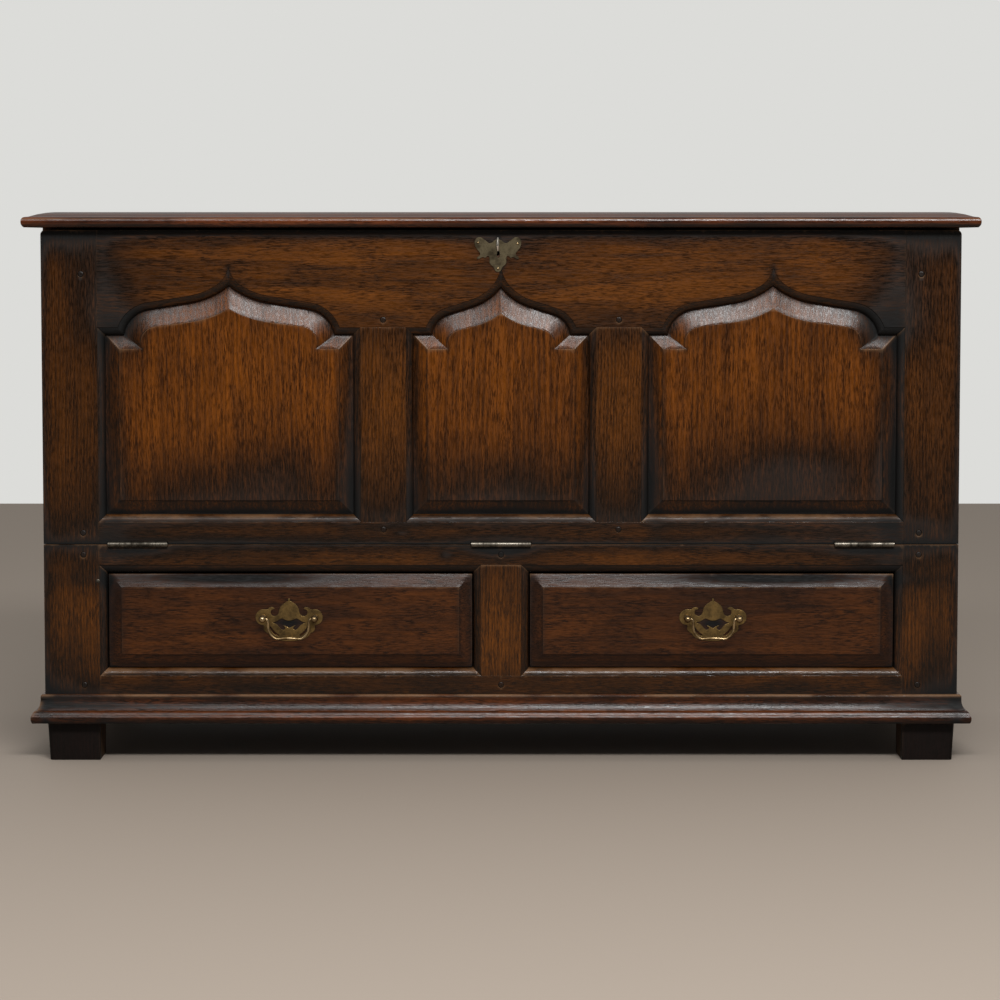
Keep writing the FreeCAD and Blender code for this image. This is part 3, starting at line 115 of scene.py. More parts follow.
def noise(place, stretch, detail=3.0, rough=0.55, twist=0.0):
    scaled = makeNode(treeOf(place), "ShaderNodeVectorMath", {0: place, 1: stretch}, operation="MULTIPLY")
    settings = {"Vector": scaled.outputs[0], "Scale": 1.0, "Detail": detail, "Roughness": rough,
                "Distortion": twist}
    return makeNode(treeOf(place), "ShaderNodeTexNoise", settings).outputs[0]


def ramp(value, low, high, toLow=0.0, toHigh=1.0):
    settings = {"Value": value, "From Min": low, "From Max": high, "To Min": toLow, "To Max": toHigh}
    return makeNode(treeOf(value), "ShaderNodeMapRange", settings, interpolation_type="SMOOTHSTEP").outputs[0]


def blendColour(amount, first, second):
    first, second = (colour if isSocket(colour) else (*colour, 1.0) for colour in (first, second))
    settings = {0: amount, 6: first, 7: second}
    return makeNode(treeOf(amount), "ShaderNodeMix", settings, data_type="RGBA").outputs[2]


def linear(*screen):
    return tuple(((value / 255 + 0.055) / 1.055) ** 2.4 if value > 10 else value / 255 / 12.92
                 for value in screen)


def attribute(tree, name, output="Fac"):
    named = makeNode(tree, "ShaderNodeAttribute", attribute_type="GEOMETRY", attribute_name=name)
    return named.outputs[output]


def newMaterial(name):
    material = bpy.data.materials.new(name)
    material.use_nodes = True
    return material, material.node_tree, material.node_tree.nodes["Principled BSDF"]


# small helpers for meshes and objects

def linked(name, data):
    item = bpy.data.objects.new(name, data)
    bpy.context.scene.collection.objects.link(item)
    return item


def evaluatedMesh(item):
    bpy.context.view_layer.update()
    return bpy.data.meshes.new_from_object(item.evaluated_get(bpy.context.evaluated_depsgraph_get()))


def opened(*meshes):
    bm = bmesh.new()
    for mesh in meshes:
        bm.from_mesh(mesh)
    return bm


def merged(mesh):
    bm = opened(mesh)
    bmesh.ops.remove_doubles(bm, verts=bm.verts, dist=1e-6)
    return bm


def cleaned(mesh):
    # one closed skin, with every face looking out
    bm = merged(mesh)
    bmesh.ops.recalc_face_normals(bm, faces=bm.faces)
    bm.to_mesh(mesh)
    bm.free()
    return mesh


def smoothed(mesh, angle):
    mesh.polygons.foreach_set("use_smooth", [True] * len(mesh.polygons))
    mesh.set_sharp_from_angle(angle=math.radians(angle))
    return mesh


def rawMesh(name, verts, faces=()):
    # the points are in millimetres
    mesh = bpy.data.meshes.new(name)
    mesh.from_pydata([tuple(value * mm for value in vert) for vert in verts], [], faces)
    return mesh


def meshFrom(name, verts, faces, smooth):
    return smoothed(cleaned(rawMesh(name, verts, faces)), smooth)


def tube(rings, count):
    # the faces of a closed tube whose points come ring after ring, with count points to a ring
    faces = []
    for ring in range(rings - 1):
        for step in range(count):
            after = (step + 1) % count
            a, b = ring * count, (ring + 1) * count
            faces.append((a + step, a + after, b + after, b + step))
    return faces + [tuple(range(count)), tuple(range((rings - 1) * count, rings * count))]


def joined(name, meshes, smooth=35):
    bm = opened(*meshes)
    mesh = bpy.data.meshes.new(name)
    bm.to_mesh(mesh)
    bm.free()
    return smoothed(mesh, smooth)


# dark and light are the two ends of the grain, grime is the colour of what sits in corners and of the painted
# shade, shine is how rough the wax is, rings is how far apart the years lie, strokes is how dark the broken
# pores look, waves is how deep the plane left hollows, gloss is how much the wax mirrors
oakUsual = dict(shine=0.25, ringDepth=0.2, strokes=0.6, waves=3.0, gloss=0.25)
oakTones = {
    "oak_frame": dict(dark=(19, 8, 1), light=(125, 69, 11), grimeAndShade=(13, 6, 2), rings=5.0, waves=3.4),
    "oak_panel": dict(dark=(31, 12, 1), light=(143, 77, 8), grimeAndShade=(18, 8, 2), rings=9.0, waves=3.4,
                      gloss=0.26),
    "oak_drawer": dict(dark=(26, 10, 2), light=(102, 54, 14), grimeAndShade=(26, 12, 6), shine=0.28, rings=7.0,
                       strokes=0.72, gloss=0.23),
    "oak_lid": dict(dark=(33, 12, 5), light=(120, 60, 26), grimeAndShade=(14, 8, 5), shine=0.15, rings=11.0,
                    ringDepth=0.35, strokes=0.5, waves=0.9, gloss=0.32),
    "oak_base": dict(dark=(26, 10, 3), light=(132, 66, 18), grimeAndShade=(15, 7, 4), shine=0.21, rings=7.0,
                     ringDepth=0.25, waves=2.6, gloss=0.26),
    # the feet's tones hold their own dark stain and, on top of it, painted shade standing in for the shadow
    # under the base moulding
    "oak_feet": dict(dark=(12, 6, 4), light=(30, 15, 10), grimeAndShade=(6, 3, 2), shine=0.5, rings=6.0,
                     ringDepth=0.3, strokes=0.7, gloss=0.15),
    "oak_inside": dict(dark=(48, 29, 14), light=(112, 78, 44), grimeAndShade=(24, 15, 9), shine=0.62, rings=6.0,
                       ringDepth=0.4),
    "oak_peg": dict(dark=(16, 7, 2), light=(66, 36, 12), grimeAndShade=(8, 4, 2), shine=0.3, rings=3.0,
                    strokes=0.7, waves=2.0),
}
# the light colour of worn edges, which also paints a highlight on the ledges under the panels and drawers
wearAndSheenTone = (130, 98, 70)
# faces that look into the chest or at the wall are unpolished
dryOak = dict(dark=(44, 27, 14), light=(104, 73, 42))
# each pattern of the wood: repeats in a metre along and both ways across the board, detail, roughness, twist
grainNoise = dict(figure=((2.5, 26, 26), 3, 0.5, 0.4), streak=((9, 290, 290), 3, 0.6),
                  dash=((74, 720, 720), 3, 0.6), pore=((120, 1500, 1500), 2, 0.5),
                  cloud=((11, 15, 15), 4, 0.6), patch=((22, 60, 60), 3, 0.6), lumps=((9, 30, 30), 3, 0.55))
# how much each pattern moves the tone between dark and light
toneShares = dict(figure=0.7, streak=1.0, cloud=0.62)
# a full turn of the sine for each millimetre across the board
ringTurn = 6283
ringWander = 26.0
# how the grime colour, which also carries the painted shade, mixes into the wood
dirtAndShadeMix = dict(cloud=0.14, streak=0.45, cover=0.97, showThrough=0.32)
oakRelief = dict(fine=0.22, strength=0.3, specks=0.35, streak=0.3)


def oakGrain(tree, tones):
    # every pattern that the colour, the shine and the relief share
    place = attribute(tree, "grain", "Vector")
    grain = {name: noise(place, *drawn) for name, drawn in grainNoise.items()}
    grain["dash"] = ramp(grain["dash"], 0.36, 0.6)
    across = makeNode(tree, "ShaderNodeSeparateXYZ", {0: place}).outputs[1]
    phase = plus(times(across, ringTurn / tones["rings"]), times(grain["figure"], ringWander))
    ring = times(calc("SINE", phase), 0.5)
    tone = plus(times(ring, tones["ringDepth"]), 0.5)
    for name, share in toneShares.items():
        tone = plus(tone, times(minus(grain[name], 0.5), share))
    grain["tone"] = makeNode(tree, "ShaderNodeClamp", {0: tone}).outputs[0]
    grain["specks"] = ramp(minus(grain["pore"], times(ring, 0.08)), 0.55, 0.7, 0.0, 0.7)
    return grain


def oakColour(tree, grain, tones):
    dark, grimeAndShade = linear(*tones["dark"]), attribute(tree, "grimeAndShade")
    waxed = blendColour(grain["tone"], dark, linear(*tones["light"]))
    bare = blendColour(grain["tone"], linear(*dryOak["dark"]), linear(*dryOak["light"]))
    colour = blendColour(attribute(tree, "dry"), waxed, bare)
    # the broken pores are thick in some places and hardly there in others
    patchy = ramp(grain["patch"], 0.38, 0.62, 0.45, 1.4)
    strokes = times(minus(1.0, grain["dash"]), tones["strokes"])
    colour = blendColour(times(strokes, patchy, True), colour, dark)
    colour = blendColour(grain["specks"], colour, dark)
    dirtAndShade = grimeAndShade
    for name in ("cloud", "streak"):
        dirtAndShade = plus(dirtAndShade, times(minus(grain[name], 0.5), dirtAndShadeMix[name]))
    # the lighter lines of the grain still show a little through the dirt
    seen = times(times(grain["tone"], grain["dash"]), dirtAndShadeMix["showThrough"])
    cover = minus(dirtAndShadeMix["cover"], seen)
    colour = blendColour(times(ramp(dirtAndShade, -0.05, 1.12), cover), colour, linear(*tones["grimeAndShade"]))
    # the thickest goes black: heavy dirt, and the painted shadows under the lid and under the hinge barrels
    colour = blendColour(ramp(grimeAndShade, 1.3, 1.95), colour, linear(1, 1, 1))     # the thickest is black
    # worn edges and the painted highlight on the ledges turn towards the light worn tone
    rubbed = calc("POWER", attribute(tree, "rubAndSheen"), 3.0)
    wearAndSheen = times(rubbed, ramp(grain["cloud"], 0.36, 0.62, 0.05, 0.7))
    return blendColour(wearAndSheen, colour, linear(*wearAndSheenTone))


def oakShine(tree, grain, tones):
    # pores, thick dirt and bare wood are dull, rubbed mouldings are bright
    rough = plus(times(grain["dash"], 0.2 * tones["strokes"]), tones["shine"] - 0.05)
    rough = plus(rough, times(ramp(attribute(tree, "grimeAndShade"), 0.9, 1.7), 0.4))
    rough = minus(rough, times(attribute(tree, "polish"), 0.11))
    return plus(rough, times(attribute(tree, "dry"), 0.3), True)


def oakBumps(tree, grain, tones):
    height = times(minus(grain["dash"], 0.5), tones["strokes"])
    height = minus(height, times(grain["specks"], oakRelief["specks"]))
    height = plus(height, times(grain["streak"], oakRelief["streak"]))
    settings = {"Height": height, "Strength": oakRelief["strength"], "Distance": oakRelief["fine"] * mm}
    fine = makeNode(tree, "ShaderNodeBump", settings).outputs[0]
    settings = {"Height": grain["lumps"], "Strength": oakRelief["strength"], "Distance": tones["waves"] * mm,
                "Normal": fine}
    return makeNode(tree, "ShaderNodeBump", settings).outputs[0]


def makeOak(name, tones):
    material, tree, shader = newMaterial(name)
    grain = oakGrain(tree, tones)
    tree.links.new(oakColour(tree, grain, tones), shader.inputs["Base Color"])
    tree.links.new(oakShine(tree, grain, tones), shader.inputs["Roughness"])
    tree.links.new(oakBumps(tree, grain, tones), shader.inputs["Normal"])
    shader.inputs["Specular IOR Level"].default_value = tones["gloss"]
    return material


oaks = {name: makeOak(name + "_worn", oakUsual | tones) for name, tones in oakTones.items()}
print("oak finishes made")

# bright is clean metal, dull is tarnish, dark sits in specks
metalTones = {
    "brass": dict(bright=(136, 112, 70), dull=(80, 64, 40), dark=(28, 21, 13), shine=0.35),
    "hinge_metal": dict(bright=(116, 110, 100), dull=(54, 50, 44), dark=(22, 18, 15), shine=0.34),
    "lock_iron": dict(bright=(120, 116, 112), dull=(60, 56, 54), dark=(22, 19, 17), shine=0.45),
    "handled_brass": dict(bright=(178, 154, 116), dull=(100, 80, 52), dark=(36, 28, 18), shine=0.25),
    "dulled_brass": dict(bright=(92, 83, 64), dull=(60, 53, 40), dark=(22, 19, 15), shine=0.5),
    "bright_steel": dict(bright=(226, 220, 208), dull=(170, 160, 146), dark=(60, 52, 44), shine=0.2),
}


def makeMetal(name, tones):
    material, tree, shader = newMaterial(name)
    place = makeNode(tree, "ShaderNodeTexCoord").outputs["Object"]
    cloud = noise(place, (60, 60, 60), 5, 0.62)
    fleck = noise(place, (700, 700, 700), 3, 0.55)
    tarnish = ramp(cloud, 0.36, 0.66)
    colour = blendColour(tarnish, linear(*tones["bright"]), linear(*tones["dull"]))
    colour = blendColour(ramp(fleck, 0.56, 0.72, 0.0, 0.7), colour, linear(*tones["dark"]))
    # soiled metal goes nearly black: dirt and painted shade in the screw slots and rims
    colour = blendColour(attribute(tree, "soilAndShade"), colour, linear(6, 4, 3))
    tree.links.new(colour, shader.inputs["Base Color"])
    rough = plus(times(tarnish, 0.2), tones["shine"] - 0.05)
    tree.links.new(rough, shader.inputs["Roughness"])
    pits = plus(cloud, times(fleck, 0.4))
    bump = makeNode(tree, "ShaderNodeBump", {"Height": pits, "Strength": 0.3, "Distance": 0.4 * mm})
    tree.links.new(bump.outputs[0], shader.inputs["Normal"])
    shader.inputs["Metallic"].default_value = 1.0
    return material


metals = {name: makeMetal(name + "_aged", tones) for name, tones in metalTones.items()}
for node, cadObject in frame["nodes"].items():
    if slotOf[node] in metals:
        for index in range(len(cadObject.data.materials)):
            cadObject.material_slots[index].link = "OBJECT"
            cadObject.material_slots[index].material = metals[slotOf[node]]
print("metal finishes made")

# rounded edges, and how short the sides of the faces are so that wax and wear can change over them,
# in millimetres
wornOak = dict(roundEdge=0.5, sharpAngle=28, flatAngle=0.4, longestEdge=9, coarseEdge=24, boardGap=0.12,
               ownEdge=dict(base_moulding=17.5, lid_boards=14, chest_floor=24))
upright = ("panel", "feet", "post", "stile", "muntin", "divider")


def islandsOf(bm):
    seen, islands = set(), []
    for start in bm.verts:
        if start in seen:
            continue
        stack, island = [start], []
        seen.add(start)
        while stack:
            vert = stack.pop()
            island.append(vert)
            for edge in vert.link_edges:
                other = edge.other_vert(vert)
                if other not in seen:
                    seen.add(other)
                    stack.append(other)
        islands.append(island)
    return islands


def extent(verts):
    return [Vector([pick(vert.co[axis] for vert in verts) for axis in range(3)]) for pick in (min, max)]


def halveEdges(bm, edges):
    bmesh.ops.subdivide_edges(bm, edges=edges, cuts=1, use_grid_fill=False)
    bmesh.ops.triangulate(bm, faces=[face for face in bm.faces if len(face.verts) > 4])


def splitLongEdges(bm, longest):
    for step in range(9):
        long = [edge for edge in bm.edges if edge.calc_length() > longest]
        if not long:
            break
        halveEdges(bm, long)


def partBoards(bm):
    # the lid's glued boards have shrunk a hair apart: every corner on a joint moves into its own board
    low, high = extent(bm.verts)
    joints = {round(face.calc_center_median().y, 5) for face in bm.faces if abs(face.normal.y) > 0.999}
    joints = [joint for joint in joints if low.y + 60 * mm < joint < high.y - 60 * mm]
    bmesh.ops.split_edges(bm, edges=bm.edges)
    moves = []
    for face in bm.faces:
        middle = face.calc_center_median().y
        for vert in face.verts:
            for joint in joints:
                if abs(vert.co.y - joint) < 1e-5:
                    side = -face.normal.y if abs(middle - joint) < 1e-5 else middle - joint
                    moves.append((vert, math.copysign(wornOak["boardGap"] * mm, side)))
    for vert, move in moves:
        vert.co.y += move


# the lid's shoulder is planed round: how far in from the edge, and how much it stands up there
shoulder = dict(reach=(0.86, 1.6, 2.4, 3.5, 5, 7, 9, 11), lift=(0.6, 1.3, 1.8, 2.0, 1.7, 1.1, 0.5, 0),
                foot=789, head=793.8)


def roundShoulder(bm):
    low, high = extent(bm.verts)
    front, left, right = low.y, low.x, high.x
    for reach in shoulder["reach"][1:]:
        cuts = (((0, front + reach * mm, 0), (0, 1, 0)), ((left + reach * mm, 0, 0), (1, 0, 0)),
                ((right - reach * mm, 0, 0), (1, 0, 0)))
        for spot, way in cuts:
            shape = [*bm.verts, *bm.edges, *bm.faces]
            bmesh.ops.bisect_plane(bm, geom=shape, dist=1e-6, plane_co=spot, plane_no=way)
    for vert in bm.verts:
        x, y, z = vert.co
        if z > shoulder["foot"] * mm:
            inward = min(y - front, x - left, right - x) / mm
            rise = min((z / mm - shoulder["foot"]) / (shoulder["head"] - shoulder["foot"]), 1)
            vert.co.z += float(np.interp(inward, shoulder["reach"], shoulder["lift"])) * rise * mm


# the base moulding's nose leans back towards the cove
nose = dict(middle=70.5, spread=3.6, lean=1.4, frontReach=256, sideReach=14)


def leanNose(bm):
    side = extent(bm.verts)[1].x - nose["sideReach"] * mm
    for vert in bm.verts:
        lean = nose["lean"] * math.exp(-((vert.co.z / mm - nose["middle"]) / nose["spread"]) ** 2) * mm
        if vert.co.y < -nose["frontReach"] * mm:
            vert.co.y += lean
        if abs(vert.co.x) > side:
            vert.co.x -= math.copysign(lean, vert.co.x)


# the carver ran each arch moulding's outer line up into a spike: arcs as in the rail, lift at the very top
mouldingWidth = 11
sideArch = dict(tip=697.0, side=76.8, inner=124, lift=12.6, width=5.3)
centreArch = dict(tip=694.5, side=68.6, inner=88.6, lift=9.5, width=4.8)
arches = {-397: sideArch, 0: centreArch, 397: sideArch}
spikeReach = dict(across=24, up=34, shortest=2.2, moved=40, fade=16, splitDepth=10.9, movedDepth=12.9)


def archLine(arch, radius, reach):
    # how high an arch's line lies at this distance from the arch's middle
    centre = arch["tip"] + math.sqrt(arch["inner"] ** 2 - arch["side"] ** 2)
    return centre - math.sqrt(radius ** 2 - (arch["side"] - reach) ** 2)


def carveSpike(bm, middle, arch):
    outer = arch["inner"] - mouldingWidth
    top = archLine(arch, outer, 0)

    def near(vert):
        x, y, z = vert.co / mm
        return (abs(x - middle) < spikeReach["across"] and abs(z - top) < spikeReach["up"]
                and y < frontY + spikeReach["splitDepth"])

    for step in range(4):
        wide = [edge for edge in bm.edges if edge.calc_length() > spikeReach["shortest"] * mm
                and all(near(vert) for vert in edge.verts)]
        if wide:
            halveEdges(bm, wide)
    for vert in bm.verts:
        x, y, z = vert.co / mm
        reach = abs(x - middle)
        deep = y > frontY + spikeReach["movedDepth"]
        if deep or reach > spikeReach["moved"] or z < top - spikeReach["moved"]:
            continue
        low, high = archLine(arch, arch["inner"], reach), archLine(arch, outer, reach)
        share = min(max((z - low) / (high - low), 0), 1) * math.exp(min(high - z, 0) / spikeReach["fade"])
        vert.co.z += arch["lift"] * math.exp(-reach / arch["width"]) * share * mm


def roundEdges(bm):
    sharp = math.radians(wornOak["sharpAngle"])
    rounded = bm.faces.layers.int.new("rounded")
    outer = [edge for edge in bm.edges
             if len(edge.link_faces) == 2 and edge.calc_face_angle() > sharp and edge.is_convex]
    made = bmesh.ops.bevel(bm, geom=outer, offset=wornOak["roundEdge"] * mm, segments=2, profile=0.5,
                           affect="EDGES", clamp_overlap=True)
    for face in made["faces"]:
        face[rounded] = 1


def markWear(bm, node):
    # the rub mark is where edges are worn bare, and finishOak adds to it a painted highlight on the ledges;
    # nook is where dirt stays: in corners and in the lid's joints
    rubAndSheen = bm.verts.layers.float["rubAndSheen"]
    nook = bm.verts.layers.float["nook"]
    rounded = bm.faces.layers.int["rounded"]
    for face in bm.faces:
        if face[rounded]:
            joint = node == "lid_boards" and face.normal.z > 0.5 and face.calc_center_median().y > -260 * mm
            for vert in face.verts:
                vert[nook if joint else rubAndSheen] = 1.0
    sharp = math.radians(wornOak["sharpAngle"])
    for edge in bm.edges:
        if len(edge.link_faces) == 2 and not edge.is_convex and edge.calc_face_angle() > sharp:
            for vert in edge.verts:
                vert[nook] = 1.0
    bm.faces.layers.int.remove(rounded)


def wornCopy(node, longest):
    bm = opened(frame["nodes"][node].data)
    if node == "lid_boards":
        partBoards(bm)
    bmesh.ops.remove_doubles(bm, verts=bm.verts, dist=1e-6)
    flat = math.radians(wornOak["flatAngle"])
    bmesh.ops.dissolve_limit(bm, angle_limit=flat, verts=bm.verts, edges=bm.edges)
    bm.verts.layers.float.new("rubAndSheen")
    bm.verts.layers.float.new("nook")
    roundEdges(bm)
    if "lid" not in node:
        for vert in bm.verts:
            if vert.co.z > (carcassTop - 0.1) * mm:
                vert.co.z = (carcassTop + 0.26) * mm     # the closed lid rests on the rails
    if node == "lid_boards":
        roundShoulder(bm)
    splitLongEdges(bm, longest * mm)
    if node == "fall_top_rail":
        for middle, arch in arches.items():
            carveSpike(bm, middle, arch)
    if node == "base_moulding":
        leanNose(bm)
    markWear(bm, node)
    return bm


def layGrain(bm, node):
    # every board has its own grain along its length, a little out of true
    rng = random.Random(node)
    grain = bm.verts.layers.float_vector.new("grain")
    for island in islandsOf(bm):
        low, high = extent(island)
        size = high - low
        along = 2 if any(word in node for word in upright) else max(range(3), key=lambda axis: size[axis])
        across = [axis for axis in range(3) if axis != along]
        shift = Vector([rng.uniform(0, 40) for axis in range(3)])
        tilt = rng.uniform(-0.02, 0.02)
        for vert in island:
            u, v, w = vert.co[along], vert.co[across[0]], vert.co[across[1]]
            vert[grain] = Vector((u, v + tilt * u, w)) + shift


def readValues(items, name, width=1):
    values = np.empty(len(items) * width, np.float32)
    items.foreach_get(name, values)
    return values.reshape(-1, width) if width > 1 else values


def writeShare(mesh, name, values):
    layer = mesh.attributes.get(name) or mesh.attributes.new(name, "FLOAT", "POINT")
    layer.data.foreach_set("value", values.astype(np.float32))


def held(value):
    # a share is never less than none or more than all
    return np.clip(value, 0, 1)


def bell(value, middle, width):
    # one at the middle, fading out to both sides
    return np.exp(-((value - middle) / width) ** 2)


def finishOak(bm, name, node, grimeAndShadeOf):
    layGrain(bm, node)
    mesh = bpy.data.meshes.new(name)
    bm.to_mesh(mesh)
    bm.free()
    places, normals = readValues(mesh.vertices, "co", 3), readValues(mesh.vertices, "normal", 3)
    nook = readValues(mesh.attributes["nook"].data, "value")
    rubAndSheen = readValues(mesh.attributes["rubAndSheen"].data, "value")
    rubAndSheen *= held(0.5 + 2 * normals[:, 2])     # hands and cloths wear the upper edges most
    polish, dry = polishAndSheenOf(places, normals), dryness(places, normals)
    # the polish mask joins the rub mark: the ledges that look up are painted lighter, a painted highlight
    writeShare(mesh, "rubAndSheen", np.maximum(rubAndSheen * (1 - 0.6 * dry), polish))
    writeShare(mesh, "dry", dry)
    writeShare(mesh, "grimeAndShade", np.clip(grimeAndShadeOf(places, normals) + 0.5 * nook, 0, 2))
    writeShare(mesh, "polish", polish)
    mesh.materials.append(oaks[slotOf[node]])
    piece = linked(name, smoothed(mesh, 50))
    even = piece.modifiers.new("even", "WEIGHTED_NORMAL")
    even.keep_sharp = True
    done = evaluatedMesh(piece)
    piece.modifiers.remove(even)
    piece.data = done
    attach(piece, bodyOf[node])
    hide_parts(node)


# bare wood: whatever looks inwards or at the wall, the lid's underside and the inside of the chest
bare = dict(rearwards=-240, inwards=-236, ends=670, lidHeight=780, lidFront=-250)
inside = dict(front=-229, rear=257.5, ends=655, floor=300, top=783)


def dryness(places, normals):
    x, y, z = places.T / mm
    rearwards = held(2 * normals[:, 1]) * (y > bare["rearwards"])
    inwards = held(-2 * np.sign(x) * normals[:, 0]) * (y > bare["inwards"]) * (np.abs(x) < bare["ends"])
    below = held(-2 * normals[:, 2]) * (z > bare["lidHeight"]) * (y > bare["lidFront"])
    within = ((y > inside["front"]) * (y < inside["rear"]) * (np.abs(x) < inside["ends"])
              * (z > inside["floor"]) * (z < inside["top"]))
    return held(rearwards + inwards + below + within)


# the mouldings under the panels and drawers shine where a cloth runs along them, and where they look up they
# are also painted lighter: a painted highlight
ledges = dict(panels=358, drawers=130, height=12, rear=-236, fade=4, steep=2.6)


def polishAndSheenOf(places, normals):
    y, z = places[:, 1] / mm, places[:, 2] / mm
    moulding = held((ledges["rear"] - y) / ledges["fade"]) * held(ledges["steep"] * normals[:, 2])
    near = [bell(z, ledges[under], ledges["height"]) for under in ("panels", "drawers")]
    return moulding * np.maximum(*near)


def plainPatina(places, normals):
    # away from the front only the outline of a piece is a little darker
    low, high = places.min(0), places.max(0)
    edge = np.minimum(places - low, high - places)
    edge[:, (high - low) < 30 * mm] = 1.0     # the edges across a board's thickness don't count
    return 0.12 + 0.4 * np.exp(-edge.min(1) / (12 * mm))


# how deep each spot of the front lies, and how much it differs from what is round it:
# wax and dust gather there
reliefMap = dict(step=3.0, low=(-690, 50), high=(690, 790), spread=9.0, open=12.0, deepest=14)


def soften(field, spread):
    reach = int(3 * spread)
    weights = np.exp(-0.5 * (np.arange(-reach, reach + 1) / spread) ** 2)
    weights /= weights.sum()
    for turn in range(2):
        padded = np.pad(field, ((reach, reach), (0, 0)), mode="edge")
        field = sum(weight * padded[shift:shift + field.shape[0]] for shift, weight in enumerate(weights)).T
    return field


def isFront(node):
    return faceOf(node, "front") < -220


def measureRelief():
    verts, faces = [], []
    for node in frame["nodes"]:
        if slotOf[node] in oaks and isFront(node) and "lid" not in node and "base" not in node:
            mesh = frame["nodes"][node].data
            start = len(verts)
            verts += [vert.co.copy() for vert in mesh.vertices]
            faces += [[start + index for index in face.vertices] for face in mesh.polygons]
    hull = BVHTree.FromPolygons(verts, faces)
    ends = zip(reliefMap["low"], reliefMap["high"])
    xs, zs = (np.arange(low, high, reliefMap["step"]) for low, high in ends)
    depth = np.zeros((len(xs), len(zs)))
    for i, x in enumerate(xs):
        for j, z in enumerate(zs):
            hit = hull.ray_cast(Vector((x * mm, -1, z * mm)), Vector((0, 1, 0)), 0.8)[0]
            depth[i, j] = hit[1] / mm - frontY if hit else reliefMap["open"]
    depth = np.clip(depth, 0, reliefMap["deepest"])
    return np.abs(depth - soften(depth, reliefMap["spread"] / reliefMap["step"]))


frontRelief = measureRelief()
print("front relief measured")

# dark clouds on the front, mostly stains, with painted shadows under the hinges: middle x and z, half width,
# half height, strength; left and right differ a little
stainsAndShadows = {
    "topRail": [
        (-580, 690, 62, 88, 0.85), (580, 690, 60, 90, 0.8), (-552, 646, 46, 34, 0.6),
        (548, 640, 50, 36, 0.6), (-172, 640, 66, 34, 0.55), (172, 640, 66, 34, 0.65), (0, 748, 60, 22, 0.5),
        (-640, 760, 50, 26, 0.6), (640, 760, 50, 26, 0.6), (560, 640, 40, 60, 0.2), (-4, 738, 42, 32, 0.3)],
    "archTips": [
        (-397, 720, 5, 11, 0.8), (0, 727, 5, 9, 0.8), (397, 720, 5, 11, 0.8), (320, 659, 46, 22, 0.22),
        (0, 648, 60, 14, 0.12)],
    "panels": [
        (-397, 368, 230, 90, 1.05), (0, 368, 150, 90, 1.05), (397, 368, 230, 98, 1.1),
        (450, 430, 110, 40, 0.35), (-330, 430, 60, 40, 0.3), (400, 500, 160, 150, 0.14)],
    "stilesAndMuntins": [
        (-560, 470, 12, 130, 0.5), (-226, 470, 13, 130, 0.6), (226, 470, 12, 130, 0.6),
        (562, 470, 16, 130, 0.6), (-625, 330, 60, 30, 0.5), (625, 330, 60, 30, 0.6),
        (-172, 352, 50, 22, 0.5), (172, 352, 50, 22, 0.5), (630, 560, 34, 200, 0.32),
        (-630, 500, 34, 90, 0.1)],
    # the three strongest marks, at z 312, are painted shadows under the hinge barrels
    "railsAndHingeShadows": [
        (0, 304, 46, 18, 0.7), (-540, 345, 60, 14, 0.4), (560, 345, 80, 14, 0.5), (-540, 300, 60, 16, 0.5),
        (540, 300, 80, 16, 0.4), (-532, 312, 36, 6, 1.2), (0, 312, 36, 6, 1.2), (532, 312, 36, 6, 1.2),
        (-610, 280, 60, 40, 0.4), (610, 280, 60, 40, 0.3)],
    "drawers": [
        (-400, 268, 150, 9, 2.0), (400, 268, 160, 9, 2.0), (-311, 200, 62, 42, 0.55),
        (311, 200, 62, 42, 0.55), (-311, 203, 24, 10, 1.3), (311, 203, 24, 10, 1.3)],
    "lowDown": [
        (0, 120, 300, 16, 0.3), (-650, 110, 40, 60, 0.5), (650, 110, 40, 60, 0.5), (-400, 98, 260, 24, 0.5),
        (400, 98, 260, 24, 0.5), (-640, 150, 40, 60, 0.25), (640, 150, 40, 60, 0.3),
        (-620, 80, 200, 30, 0.3), (620, 80, 140, 30, 0.25)],
    "knots": [(-80, 303, 9, 7, 0.9), (-144, 336, 9, 3, 0.7)],
    "cleaner": [
        (-150, 742, 80, 36, -0.14), (160, 742, 80, 36, -0.08), (0, 296, 540, 12, -0.34),
        (-400, 338, 150, 10, -0.2), (20, 338, 540, 11, -0.34)],
}
# dirt along straight lines: how far out or how high, strength, and how soon it fades
edgeLines = dict(across=((578, 0.3, 16), (670, 0.35, 10)), up=((320, 0.3, 9), (98, 0.5, 12)))
grimeAndShadeShares = dict(ground=0.12, relief=0.13, depth=0.012, deep=0.03, ends=0.16, foot=0.14, kept=0.3,
                    dustedAndLit=0.75)


def lookUp(field, x, z):
    i = np.clip((x - reliefMap["low"][0]) / reliefMap["step"], 0, field.shape[0] - 1.001)
    j = np.clip((z - reliefMap["low"][1]) / reliefMap["step"], 0, field.shape[1] - 1.001)
    a, b = i.astype(int), j.astype(int)
    u, v = i - a, j - b
    return ((1 - u) * (1 - v) * field[a, b] + u * (1 - v) * field[a + 1, b]
            + (1 - u) * v * field[a, b + 1] + u * v * field[a + 1, b + 1])


def shownShare(y):
    # the back of the front has its own even dirt
    return held((-232 - y) / 6)


